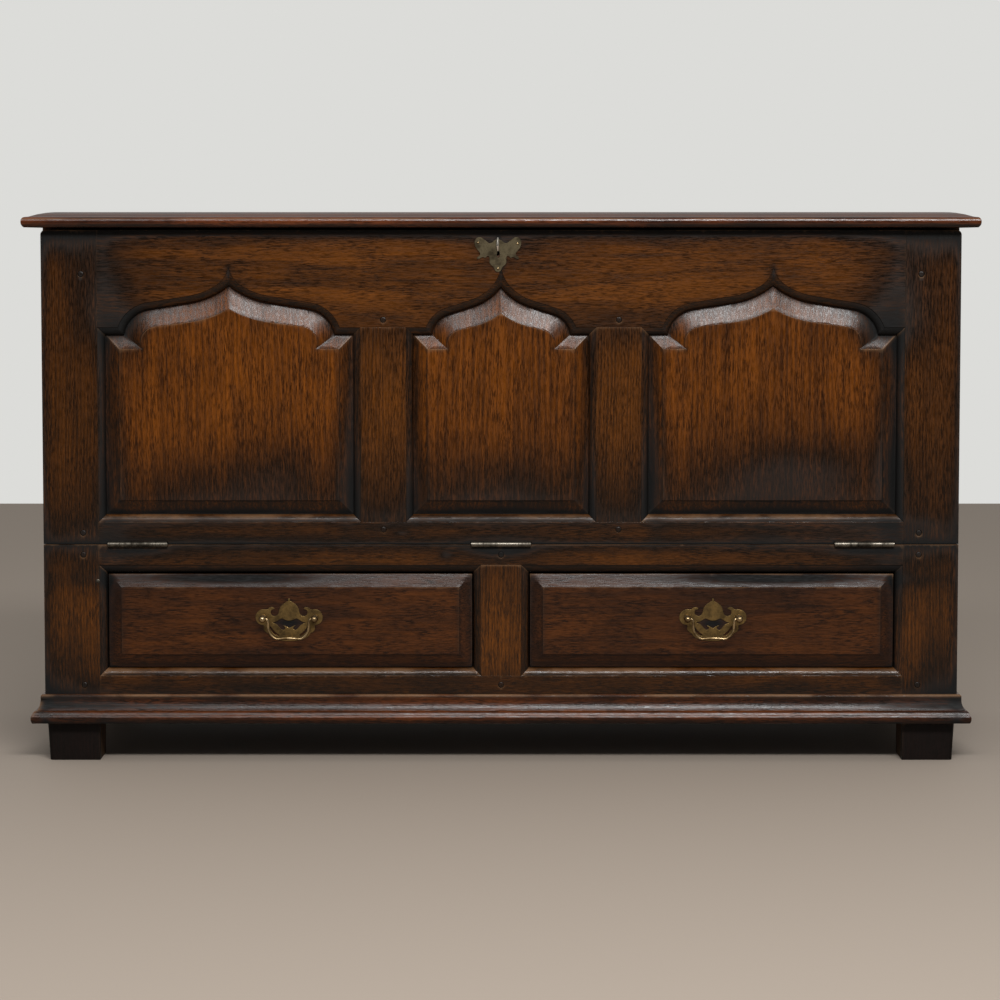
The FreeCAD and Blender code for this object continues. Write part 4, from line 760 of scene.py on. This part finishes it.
def frontGrimeAndShade(places, normals):
    x, y, z = places.T / mm
    shares = grimeAndShadeShares
    depth = np.clip(y - frontY, 0, 12)
    dirtAndShade = shares["ground"] + shares["relief"] * lookUp(frontRelief, x, z)
    dirtAndShade += shares["depth"] * depth + shares["deep"] * np.clip(depth - 2.8, 0, 8)
    dirtAndShade += shares["ends"] * bell(np.abs(x), 640, 50)
    dirtAndShade += shares["foot"] * bell(z, 105, 26)
    for value, lines in ((np.abs(x), edgeLines["across"]), (z, edgeLines["up"])):
        for line, strength, fade in lines:
            dirtAndShade += strength * np.exp(-np.abs(value - line) / fade)
    for group in stainsAndShadows.values():
        for midX, midZ, halfX, halfZ, strength in group:
            dirtAndShade += strength * bell(x, midX, halfX) * bell(z, midZ, halfZ)
    # faces that look up get less of this darkening: dusting and handling keep them cleaner, and they are
    # painted lighter as a painted highlight where the light from above falls
    up = held(normals[:, 2])     # dusted and handled faces that look up stay cleaner
    shown = shownShare(y)
    return dirtAndShade * (1 - shares["dustedAndLit"] * up) * shown + shares["kept"] * (1 - shown)


def frameGrimeAndShade(places, normals):
    # the frame's mouldings are painted nearly black where they do not look up, dirt and painted shade
    # together, and a black painted shadow of the lid's overhang lies on the forward faces just under the lid
    y, z = places[:, 1] / mm, places[:, 2] / mm
    up = held(normals[:, 2])
    mouldingDirtAndShade = held((y - frontY - 0.5) / 1.5) * held(0.7 - 0.9 * up)
    # painted shadow: the black band that the lid's overhang casts on the faces just under it
    paintedLidShadow = 3.2 * np.exp(-np.abs(z - 786) / 11) * held(-2 * normals[:, 1])
    return frontGrimeAndShade(places, normals) + shownShare(y) * (mouldingDirtAndShade + paintedLidShadow)


def drawerGrimeAndShade(places, normals):
    # the bevels that look sideways and down are painted darker: painted shade
    turnedAway = held(6 * np.abs(normals[:, 0])) + held(-6 * normals[:, 2])
    return frontGrimeAndShade(places, normals) + 0.4 * held(turnedAway)


def basePatina(places, normals):
    # the cove is full of wax, most of all at its ends, and the nose is dark below
    x, z = places[:, 0] / mm, places[:, 2] / mm
    cove = 0.9 - 0.4 * held((x + 560) / 200) + 0.3 * held((x - 500) / 120)
    return frontGrimeAndShade(places, normals) + cove * bell(z, 81, 5) + 0.6 * bell(z, 58, 4)


def lidEdgeDarkening(places, normals):
    # the lower half of the lid's edge is dark
    x, y, z = places.T / mm
    cloud = 0.25 * np.sin(x / 47) + 0.2 * np.sin(x / 19 + 1)
    edge = held((-250 - y) / 4) + held((np.abs(x) - 669) / 4)
    return 0.12 + held(edge) * (1.1 + cloud) * np.exp(-(np.clip(z - 783, 0, 30) / 5) ** 2)


frontGrimesAndShades = dict(oak_frame=frameGrimeAndShade, oak_drawer=drawerGrimeAndShade, oak_base=basePatina, oak_lid=lidEdgeDarkening)
for node in sorted(frame["nodes"]):
    if slotOf[node] not in oaks or "pegs" in node:
        continue
    longest = wornOak["ownEdge"].get(node, wornOak["longestEdge"] if isFront(node) else wornOak["coarseEdge"])
    grimeAndShadeOf = frontGrimesAndShades.get(slotOf[node], frontGrimeAndShade) if isFront(node) else plainPatina
    finishOak(wornCopy(node, longest), node + "_worn", node, grimeAndShadeOf)
print("oak pieces worn")


def makeSetter():
    # sets one small shape at every point, each turned its own way and a little bigger or smaller
    tree = bpy.data.node_groups.new("set_at_points", "GeometryNodeTree")
    asked = {"Places": "Geometry", "Shape": "Object", "Size": "Float", "Size spread": "Float",
             "Turn axis": "Vector", "Turn": "Float", "Seed": "Int", "Finish": "Material"}
    for label, kind in asked.items():
        tree.interface.new_socket(label, in_out="INPUT", socket_type="NodeSocket" + kind)
    tree.interface.new_socket("Pieces", in_out="OUTPUT", socket_type="NodeSocketGeometry")
    given = makeNode(tree, "NodeGroupInput").outputs

    def drawn(lowest, highest):
        settings = {2: lowest, 3: highest, 8: given["Seed"]}
        return makeNode(tree, "FunctionNodeRandomValue", settings, data_type="FLOAT").outputs[1]

    shape = makeNode(tree, "GeometryNodeObjectInfo", {"Object": given["Shape"]})
    turn = drawn(times(given["Turn"], -1.0), given["Turn"])
    rotation = makeNode(tree, "FunctionNodeAxisAngleToRotation", {"Axis": given["Turn axis"], "Angle": turn})
    size = drawn(times(given["Size"], minus(1.0, given["Size spread"])),
                 times(given["Size"], plus(1.0, given["Size spread"])))
    placed = makeNode(tree, "GeometryNodeInstanceOnPoints",
                      {"Points": given["Places"], "Instance": shape.outputs["Geometry"],
                       "Rotation": rotation.outputs[0], "Scale": size})
    real = makeNode(tree, "GeometryNodeRealizeInstances", {"Geometry": placed.outputs[0]})
    finished = makeNode(tree, "GeometryNodeSetMaterial",
                        {"Geometry": real.outputs[0], "Material": given["Finish"]})
    makeNode(tree, "NodeGroupOutput", {0: finished.outputs[0]})
    return tree


setter = makeSetter()


def setAtPoints(name, places, shape, finish, axis, seed, size=1.0, spread=0.05):
    holder = linked(name + "_places", rawMesh(name + "_places", places))
    pattern = linked(name + "_pattern", shape)
    modifier = holder.modifiers.new("set", "NODES")
    modifier.node_group = setter
    named = {item.name: item.identifier for item in setter.interface.items_tree if item.in_out == "INPUT"}
    given = {"Shape": pattern, "Size": float(size), "Size spread": spread, "Turn axis": axis,
             "Turn": math.pi, "Seed": seed, "Finish": finish}
    for label, value in given.items():
        modifier[named[label]] = value
    mesh = evaluatedMesh(holder)
    holder.modifiers.remove(modifier)
    bpy.data.objects.remove(holder)
    bpy.data.objects.remove(pattern)
    return mesh


def circle(radius, count, first=0.0, turn=2 * math.pi):
    # points round a full turn, or from the first angle to the last where the turn is shorter
    steps = count if turn == 2 * math.pi else count - 1
    angles = [first + turn * step / steps for step in range(count)]
    return [(radius * math.cos(angle), radius * math.sin(angle)) for angle in angles]


# a split peg has eight rough sides and a cut, slightly domed end
peg = dict(radius=4.38, proud=0.4, length=20.0, uneven=0.05, spread=0.012, seed=4, sides=8)


def pegShape():
    rng = random.Random(peg["seed"])
    rough = [1 - rng.uniform(0, peg["uneven"]) for side in range(peg["sides"])]
    rings = [(-peg["proud"], 0.6), (-peg["proud"] * 0.75, 0.86), (0.1, 0.99), (peg["length"] * 0.5, 1.0),
             (peg["length"], 0.86)]
    verts = [(x * share * side, y, z * share * side)
             for y, share in rings for (x, z), side in zip(circle(peg["radius"], peg["sides"]), rough)]
    return meshFrom("peg", verts, tube(len(rings), peg["sides"]), 30)


def middlesOf(node):
    bm = merged(frame["nodes"][node].data)
    middles = [sum(extent(island), Vector()) / 2 / mm for island in islandsOf(bm)]
    bm.free()
    return middles


def setPegs(node):
    places = [(x, frontY, z) for x, y, z in middlesOf(node)]
    mesh = setAtPoints(node, places, pegShape(), oaks["oak_peg"], (0, 1, 0), peg["seed"], 1 - peg["spread"],
                       peg["spread"])
    bm = opened(mesh)
    for name in ("rubAndSheen", "nook"):
        bm.verts.layers.float.new(name)
    finishOak(bm, node + "_set", node, frontGrimeAndShade)


def addPiece(name, mesh, body, slot, finish=None, replaced=()):
    mesh.materials.clear()
    mesh.materials.append(metals[finish or slot])
    piece = linked(name, mesh)
    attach(piece, body)
    if replaced:
        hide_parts(*replaced)


def smoothLine(points, steps, closed=False):
    # a line through every point, rounded between them
    points = [np.array(point, float) for point in points]
    count = len(points)
    line = []
    for i in range(count if closed else count - 1):
        near = [(i + k) % count if closed else min(max(i + k, 0), count - 1) for k in (-1, 0, 1, 2)]
        p0, p1, p2, p3 = (points[index] for index in near)
        for step in range(steps):
            t = step / steps
            line.append(0.5 * (2 * p1 + (p2 - p0) * t + (2 * p0 - 5 * p1 + 4 * p2 - p3) * t * t
                               + (3 * p1 - p0 - 3 * p2 + p3) * t ** 3))
    return line if closed else line + [points[-1]]


def mirroredRing(half):
    return half + [(-x, z) for x, z in reversed(half) if abs(x) > 1e-6]


def cutSheet(name, outline, holes, thick, middleX, middleZ, backY, filed=0.35):
    # a flat sheet cut to an outline in x and z, with holes, and softly filed edges
    curve = bpy.data.curves.new(name, "CURVE")
    curve.dimensions = "2D"
    curve.fill_mode = "BOTH"
    curve.extrude = (thick / 2 - filed) * mm
    curve.bevel_depth = filed * mm
    curve.bevel_resolution = 2
    curve.offset = -filed * mm
    for ring in [outline] + holes:
        spline = curve.splines.new("POLY")
        spline.points.add(len(ring) - 1)
        spline.points.foreach_set("co", [value for x, z in ring for value in (x * mm, z * mm, 0, 1)])
        spline.use_cyclic_u = True
    holder = linked(name, curve)
    mesh = evaluatedMesh(holder)
    bpy.data.objects.remove(holder)
    place = Matrix.Translation((middleX * mm, (backY - thick / 2) * mm, middleZ * mm))
    mesh.transform(place @ Matrix.Rotation(math.radians(90), 4, "X"))
    return cleaned(mesh)


def turned(name, middleX, middleZ, profile, segments=28):
    # a lathe shape about a line along y: profile is a list of y, radius
    verts = [(middleX + x, y, middleZ + z) for y, radius in profile for x, z in circle(radius, segments)]
    return meshFrom(name, verts, tube(len(profile), segments), 40)


def rod(name, line, radii, segments=16):
    # a round bar along a line of points, as thick at each as its radius says
    line = [Vector(point) for point in line]
    side = Vector((0, 1, 0))
    verts = []
    for i, point in enumerate(line):
        way = (line[min(i + 1, len(line) - 1)] - line[max(i - 1, 0)]).normalized()
        across = way.cross(side).normalized()
        verts += [point + side * u + across * v for u, v in circle(radii[i], segments)]
    return meshFrom(name, verts, tube(len(line), segments), 50)


# every size is from the line through the two posts, x to the right and z up
handle = dict(posts=38, plateThick=1.5, ball=5.2, ballForward=0.3, rearY=faceOf("left_drawer_front", "rear"),
              bailHalf=30.2, bailDrop=28.6, wire=1.9, grip=2.35, gripSpread=13, thinEnd=0.5)
plateEdge = [
    (0, 28.6), (1.6, 27.6), (1.3, 25.9), (2.0, 24.6), (3.6, 24.1), (4.6, 23.0), (6.6, 21.9), (9.4, 19.9),
    (12.2, 16.9), (14.1, 13.2), (15.0, 9.4), (15.9, 6.2), (17.8, 3.9), (20.6, 2.7), (23.6, 3.0),
    (26.0, 4.9), (27.0, 7.8), (26.4, 10.6), (24.4, 12.3), (22.3, 12.6), (21.4, 13.8), (22.8, 15.2),
    (25.6, 15.9), (28.8, 15.0), (31.2, 13.0), (33.6, 12.4), (37.0, 12.6), (41.4, 12.0), (45.6, 9.4),
    (48.4, 5.4), (49.3, 0.6), (48.2, -4.2), (45.0, -8.2), (40.8, -10.2), (37.6, -11.0), (37.4, -13.4),
    (37.8, -16.0), (36.4, -19.2), (33.4, -21.6), (30.8, -23.2), (28.6, -26.6), (24.6, -29.8), (18.6, -32.4),
    (10.0, -33.8), (0, -34.2)]
lensTop = [
    (0, -4.1), (3.8, -3.7), (7.4, -2.2), (10.5, -0.9), (14.0, -2.4), (17.4, -4.6), (21.0, -6.2)]
lensFoot = [
    (24.6, -6.9), (20.4, -8.3), (17.0, -10.6), (14.4, -13.4), (12.4, -15.8), (9.6, -17.8), (6.8, -16.9),
    (6.0, -14.6), (7.4, -12.6), (9.4, -11.6), (6.6, -11.6), (3.2, -13.4), (0, -15.0)]
plateGap = [
    (-27.6, -12.0), (-25.4, -15.2), (-22.4, -18.6), (-19.0, -22.0), (-15.2, -25.2), (-15.8, -26.6),
    (-19.6, -25.4), (-23.4, -22.4), (-26.6, -18.4), (-28.4, -14.6)]
# how far each ring of a post is turned: in front of the plate, radius
postFoot = [(4.2, 2.5), (3.0, 3.4), (1.6, 4.9), (0.5, 5.3), (0, 5.3), (-0.4, 2.4)]
# the left half of the bail, from inside the ball down to the middle of the grip
bailEnd = [
    (-5.0, 0), (-2.4, 0.1), (-0.4, -1.6), (0.3, -5), (0.5, -11), (1.4, -17), (4.2, -22.6), (8.6, -27.0)]


def makePlate(word, middle, pins):
    gaps = [smoothLine([(turn * x, z) for x, z in plateGap], 3, True) for turn in (1, -1)]
    lens = smoothLine(mirroredRing(lensTop + lensFoot), 2, True)
    edge = smoothLine(mirroredRing(plateEdge), 3, True)
    plate = cutSheet(word + "_plate", edge, [lens] + gaps, handle["plateThick"], middle, pins,
                     faceOf(word + "_drawer_front", "front"))
    addPiece(word + "_pierced_plate", plate, word + "_drawer", "brass", replaced=[word + "_handle_plate"])


def makePosts(word, middle, pins, ballY):
    ball, rearY = handle["ball"], handle["rearY"]
    plateY = faceOf(word + "_drawer_front", "front") - handle["plateThick"]
    profile = [(ballY - ball * math.cos(t), ball * math.sin(t)) for t in np.linspace(0.12, 2.45, 12)]
    profile += [(ballY + ball * 0.95, 3.0), (ballY + ball * 1.2, 3.3), (ballY + ball * 1.5, 2.6)]
    profile += [(plateY - forward, radius) for forward, radius in postFoot] + [(rearY + 3.4, 2.4)]
    nut = [(rearY, 2.4), (rearY, 5.0), (rearY + 2.5, 5.0), (rearY + 3.0, 4.4), (rearY + 3.0, 2.4)]
    parts = []
    for turn in (-1, 1):
        x = middle + turn * handle["posts"]
        parts += [turned("post", x, pins, profile), turned("nut", x, pins, nut, 6)]
    addPiece(word + "_ball_posts", joined("posts", parts), word + "_drawer", "brass", "handled_brass",
             [word + "_handle_posts"])


def makeBail(word, middle, pins, bailY):
    half, drop = handle["bailHalf"], handle["bailDrop"]
    path = [(x - half, z) for x, z in bailEnd]
    path += [(13.0 - half, -drop - 0.4), (-12, -drop - 0.2), (-7, -drop + 0.3), (0, -drop + 0.5)]
    path += [(-x, z) for x, z in reversed(path[:-1])]
    line = smoothLine([(middle + x, bailY, pins + z) for x, z in path], 5)
    radii = []
    for i, (x, y, z) in enumerate(line):
        thick = math.exp(-((x - middle) / handle["gripSpread"]) ** 2) if z < pins - 20 else 0
        thin = math.exp(-min(i, len(line) - 1 - i) / 4)
        radii.append(handle["wire"] + (handle["grip"] - handle["wire"]) * thick - handle["thinEnd"] * thin)
    addPiece(word + "_bail", rod("bail", line, radii), word + "_bail", "brass", "handled_brass",
             [word + "_bail_handle"])


for word in ("left", "right"):
    middle, bailY, pins = jointPlace(word + "_bail_swing")
    makePlate(word, middle, pins)
    makePosts(word, middle, pins, bailY - handle["ballForward"])
    makeBail(word, middle, pins, bailY)
for node in ("fall_pegs", "carcass_pegs"):
    setPegs(node)

# screw heads lie flush with a slot and a dark rim: a nearly black slab of dirt and painted shade shows in the
# slot and round the head; nail heads are hammered flat
screw = dict(radius=3.1, slot=0.8, rim=0.4, proud=0.1)
nail = dict(radius=2.8, sides=8, rings=((1.0, -0.3), (1.0, 0.1), (0.8, 0.36), (0.3, 0.45)))


def prism(outline, low, high, soilAndShade):
    # a closed little slab with its own share of dirt and painted shade
    verts = [(x, y, z) for z in (low, high) for x, y in outline]
    mesh = meshFrom("slab", verts, tube(2, len(outline)), 40)
    writeShare(mesh, "soilAndShade", np.full(len(mesh.vertices), soilAndShade))
    return mesh


def screwShape():
    edge = math.asin(screw["slot"] / 2 / screw["radius"])
    halves = [circle(screw["radius"], 9, side + edge, math.pi - 2 * edge) for side in (0, math.pi)]
    slabs = [prism(circle(screw["radius"] + screw["rim"], 16), -0.4, 0.02, 1.0)]
    slabs += [prism(half, -0.3, screw["proud"], 0.0) for half in halves]
    return joined("screw", slabs, 40)


def nailShape():
    verts = [(x * share, y * share, height) for share, height in nail["rings"]
             for x, y in circle(nail["radius"], nail["sides"])]
    return meshFrom("nail", verts, tube(len(nail["rings"]), nail["sides"]), 50)


def setFixings(name, body, slot, shape, seed, groups):
    # groups: the way the heads look out and where they sit
    meshes = []
    for way, places in groups:
        head = shape()
        head.transform(Vector(way).to_track_quat("Z", "Y").to_matrix().to_4x4())
        meshes.append(setAtPoints(name, places, head, metals[slot], way, seed))
    addPiece(name, joined(name, meshes, 40), body, slot)


def grid(xs, ys, zs):
    return [(x, y, z) for x in xs for y in ys for z in zs]


down, up, left, right, front, rear = (0, 0, -1), (0, 0, 1), (-1, 0, 0), (1, 0, 0), (0, -1, 0), (0, 1, 0)
# three screws to a hinge leaf; a hinge's middle is half a barrel in from the end of its pin
hingeScrews = dict(barrel=87, holes=(-31, 0, 31), lidRow=258, fallRow=-240, fallLeaf=0.5)
lidHinge = faceOf("lid_hinge_pins", "right") - hingeScrews["barrel"] / 2
fallHinge = faceOf("fall_hinge_pins", "right") - hingeScrews["barrel"] / 2
lidHoles = [middle + step for middle in (-lidHinge, lidHinge) for step in hingeScrews["holes"]]
fallHoles = [middle + step for middle in (-fallHinge, 0, fallHinge) for step in hingeScrews["holes"]]
stayFoot = dict(x=603, proud=3, zs=(531.5, 564.5))
stayGuide = dict(x=596.5, y=-215.6, zs=(535, 558))
backBoard = dict(first=-513, pitch=205, count=6, half=62, zs=(87, 269))
floorBoard = dict(rows=(-214, 246), ends=(-603, 603), endYs=(-150, -60, -30, 90, 120))
floorTop = faceOf("chest_floor", "top")
boardXs = [backBoard["first"] + backBoard["pitch"] * board + side
           for board in range(backBoard["count"]) for side in (-backBoard["half"], backBoard["half"])]
fixings = (
    ("lid_hinge_screws_upper", "lid", "hinge_metal", screwShape, 2,
     [(down, grid(lidHoles, [hingeScrews["lidRow"]], [faceOf("lid_boards", "under")]))]),
    ("lid_hinge_screws_lower", "root", "hinge_metal", screwShape, 3,
     [(up, grid(lidHoles, [hingeScrews["lidRow"]], [carcassTop]))]),
    ("fall_hinge_screws_upper", "fall_front", "hinge_metal", screwShape, 5,
     [(down, grid(fallHoles, [hingeScrews["fallRow"]], [hingeLine + hingeScrews["fallLeaf"]]))]),
    ("fall_hinge_screws_lower", "root", "hinge_metal", screwShape, 6,
     [(up, grid(fallHoles, [hingeScrews["fallRow"]], [hingeLine - hingeScrews["fallLeaf"]]))]),
    ("cleat_screws", "lid", "lock_iron", screwShape, 7,
     [(down, grid((-583, 583), (-160, -50, 60, 170), [faceOf("lid_cleats", "under")]))]),
    ("stay_foot_screws", "fall_front", "brass", screwShape, 8,
     [(rear, grid((-stayFoot["x"], stayFoot["x"]), [fallRearY + stayFoot["proud"]], stayFoot["zs"]))]),
    ("stay_guide_screws", "root", "brass", screwShape, 9,
     [(right, grid([-stayGuide["x"]], [stayGuide["y"]], stayGuide["zs"])),
      (left, grid([stayGuide["x"]], [stayGuide["y"]], stayGuide["zs"]))]),
    ("lock_screws", "fall_front", "lock_iron", screwShape, 10,
     [(rear, grid((-46.5, 37.5), [fallRearY], (721, 765)))]),
    ("back_nails", "root", "lock_iron", nailShape, 11,
     [(rear, grid(boardXs, [faceOf("back_boards", "rear")], backBoard["zs"]))]),
    ("floor_nails", "root", "lock_iron", nailShape, 12,
     [(up, [(x, y, floorTop) for y in floorBoard["rows"] for x in range(-560, 561, 140)]
       + grid(floorBoard["ends"], floorBoard["endYs"], [floorTop]))]),
    ("front_nail", "root", "hinge_metal", nailShape, 13, [(front, [(-591, frontY, 265.4)])]),
)
for settings in fixings:
    setFixings(*settings)
print("handles, pegs, screws and nails set")

# from the middle of the keyhole line and the top of the wings
keyPlate = dict(middle=-4.5, top=faceOf("escutcheon", "top"), thick=1.5,
                pins=((-28.8, -8.2), (28.6, -9.6), (0.2, -45.6)), headRadius=2.0, headDome=1.5, headSeat=0.06)
keyPlateEdge = [
    (0, -3.9), (2.2, -3.6), (5.6, -5.4), (9.6, -8.6), (13.4, -8.8), (17.0, -6.0), (19.8, -4.4),
    (23.0, -1.6), (27.6, -0.2), (31.6, -2.2), (34.0, -6.4), (33.8, -11.2), (32.2, -15.6), (28.4, -20.4),
    (25.8, -24.4), (27.2, -27.6), (30.0, -29.2), (30.6, -31.6), (28.0, -32.4), (24.6, -30.4), (21.4, -29.4),
    (18.4, -30.6), (15.6, -27.8), (13.0, -28.6), (12.2, -32.4), (12.4, -37.0), (10.2, -40.8), (7.0, -43.4),
    (5.4, -46.6), (3.4, -49.8), (0, -51.0)]
keySlot = [
    (1.3, -18.0), (2.3, -24.0), (2.9, -27.4), (1.6, -29.9), (-0.6, -29.9), (-1.8, -27.4), (-1.2, -24.0),
    (-0.4, -18.0)]
# the lock's pin stands a little crooked in the keyhole: along x, along y and up from its upper end
drillPin = dict(right=0.4, drop=5.4, radii=(1.5, 1.9, 2.2, 1.1), at=(0, 8, 14, 20),
                line=((-0.5, -2.6, 4.6), (-0.7, -2.6, 2.0), (-0.8, -2.9, -2.0), (-0.8, -3.0, -6.0),
                      (-0.8, -2.6, -10.4), (-0.4, -1.4, -15.2)))


def makeEscutcheon():
    middle, top = keyPlate["middle"], keyPlate["top"]
    edge = smoothLine(mirroredRing(keyPlateEdge), 3, True)
    slot = smoothLine(keySlot, 2, True)
    plate = cutSheet("escutcheon_plate", edge, [slot], keyPlate["thick"], middle, top, frontY)
    addPiece("escutcheon_worn", plate, "fall_front", "brass", "dulled_brass", ["escutcheon"])
    radius, seatY = keyPlate["headRadius"], frontY - keyPlate["thick"] - keyPlate["headSeat"]
    head = [(seatY - keyPlate["headDome"] * math.cos(t), radius * math.sin(t))
            for t in np.linspace(0.1, 1.5, 6)]
    head.append((frontY - 0.6, radius))
    heads = [turned("pin", middle + x, top + z, head, 14) for x, z in keyPlate["pins"]]
    addPiece("escutcheon_pins", joined("escutcheon_pins", heads), "fall_front", "brass", "handled_brass")
    line = smoothLine([(middle + drillPin["right"] + x, frontY + y, top - drillPin["drop"] + z)
                       for x, y, z in drillPin["line"]], 4)
    radii = list(np.interp(range(len(line)), drillPin["at"], drillPin["radii"]))
    addPiece("lock_pin", rod("drill_pin", line, radii), "fall_front", "lock_iron", "bright_steel")


makeEscutcheon()
print("escutcheon made")

# colours as they should look, and how bright the unseen room is low down and high up
studio = dict(floor=(174, 161, 148), wall=(220, 220, 217), roomLow=0.05, roomHigh=0.4,
              roomTint=(1.0, 0.98, 0.95), floorRough=0.7, halfWidth=9000, rear=4500)
# what waxed wood and brass mirror: the room behind, its sides and its ceiling, lower towards the rear
mirrored = dict(behind=(0.2, 0.8, 0.28), beside=(0.6, 0.95, 0.4), ceiling=(0.5, 0.9, 0.8), slope=0.5)
# metres and watts
lamps = dict(key=dict(place=(0.6, -3.6, 2.70), target=(0, -0.2, 0.6), size=(1.8, 0.62), power=74),
             wide_window=dict(place=(0.1, -3.75, 2.84), target=(0, -0.2, 0.55), size=(4.4, 0.66), power=68))
view = dict(lens=118.8, sensor=36, place=(-0.0015, -5.0649, 0.764), tilt=85.495)


def makeFloor():
    half, rearY = studio["halfWidth"], studio["rear"]
    corners = [(-half, -half, 0), (half, -half, 0), (half, rearY, 0), (-half, rearY, 0)]
    mesh = rawMesh("studio_floor", corners, [(0, 1, 2, 3)])
    paint, _, shader = newMaterial("floor_paint")
    shader.inputs["Base Color"].default_value = (*linear(*studio["floor"]), 1.0)
    shader.inputs["Roughness"].default_value = studio["floorRough"]
    mesh.materials.append(paint)
    linked("studio_floor", mesh)


def makeLamp(name, place, target, size, power):
    lamp = bpy.data.lights.new(name, "AREA")
    lamp.shape = "RECTANGLE"
    lamp.size, lamp.size_y = size
    lamp.energy = power
    item = linked(name, lamp)
    item.location = place
    item.rotation_euler = (Vector(target) - Vector(place)).to_track_quat("-Z", "Y").to_euler()


def makeWorld():
    world = bpy.data.worlds.new("studio")
    bpy.context.scene.world = world
    world.use_nodes = True
    tree = world.node_tree
    way = makeNode(tree, "ShaderNodeTexCoord").outputs["Generated"]
    x, y, z = makeNode(tree, "ShaderNodeSeparateXYZ", {0: way}).outputs
    room = ramp(z, -0.1, 0.9, studio["roomLow"], studio["roomHigh"])

    def glow(value, part):
        start, end, strength = mirrored[part]
        return ramp(value, start, end, 0.0, strength)

    shining = calc("MAXIMUM", glow(y, "behind"), glow(calc("ABSOLUTE", x), "beside"))
    ceiling = minus(z, times(y, mirrored["slope"]))
    shining = calc("MAXIMUM", shining, glow(ceiling, "ceiling"))
    path = makeNode(tree, "ShaderNodeLightPath").outputs
    bounced = plus(path["Is Glossy Ray"], path["Is Transmission Ray"], True)
    seen = plus(times(bounced, shining), path["Is Camera Ray"], True)
    level = makeNode(tree, "ShaderNodeMix", {0: seen, 2: room, 3: 1.0}, data_type="FLOAT")
    back = tree.nodes["Background"]
    tree.links.new(level.outputs[0], back.inputs["Strength"])
    tree.links.new(blendColour(seen, studio["roomTint"], linear(*studio["wall"])), back.inputs["Color"])


def makeCamera():
    camera = bpy.data.cameras.new("camera")
    camera.lens = view["lens"]
    camera.sensor_width = view["sensor"]
    item = linked("camera", camera)
    item.location = view["place"]
    item.rotation_euler = (math.radians(view["tilt"]), 0, 0)
    bpy.context.scene.camera = item


makeFloor()
for name, settings in lamps.items():
    makeLamp(name, **settings)
makeWorld()
makeCamera()
bpy.context.scene.view_settings.view_transform = "Standard"
print("stage set")
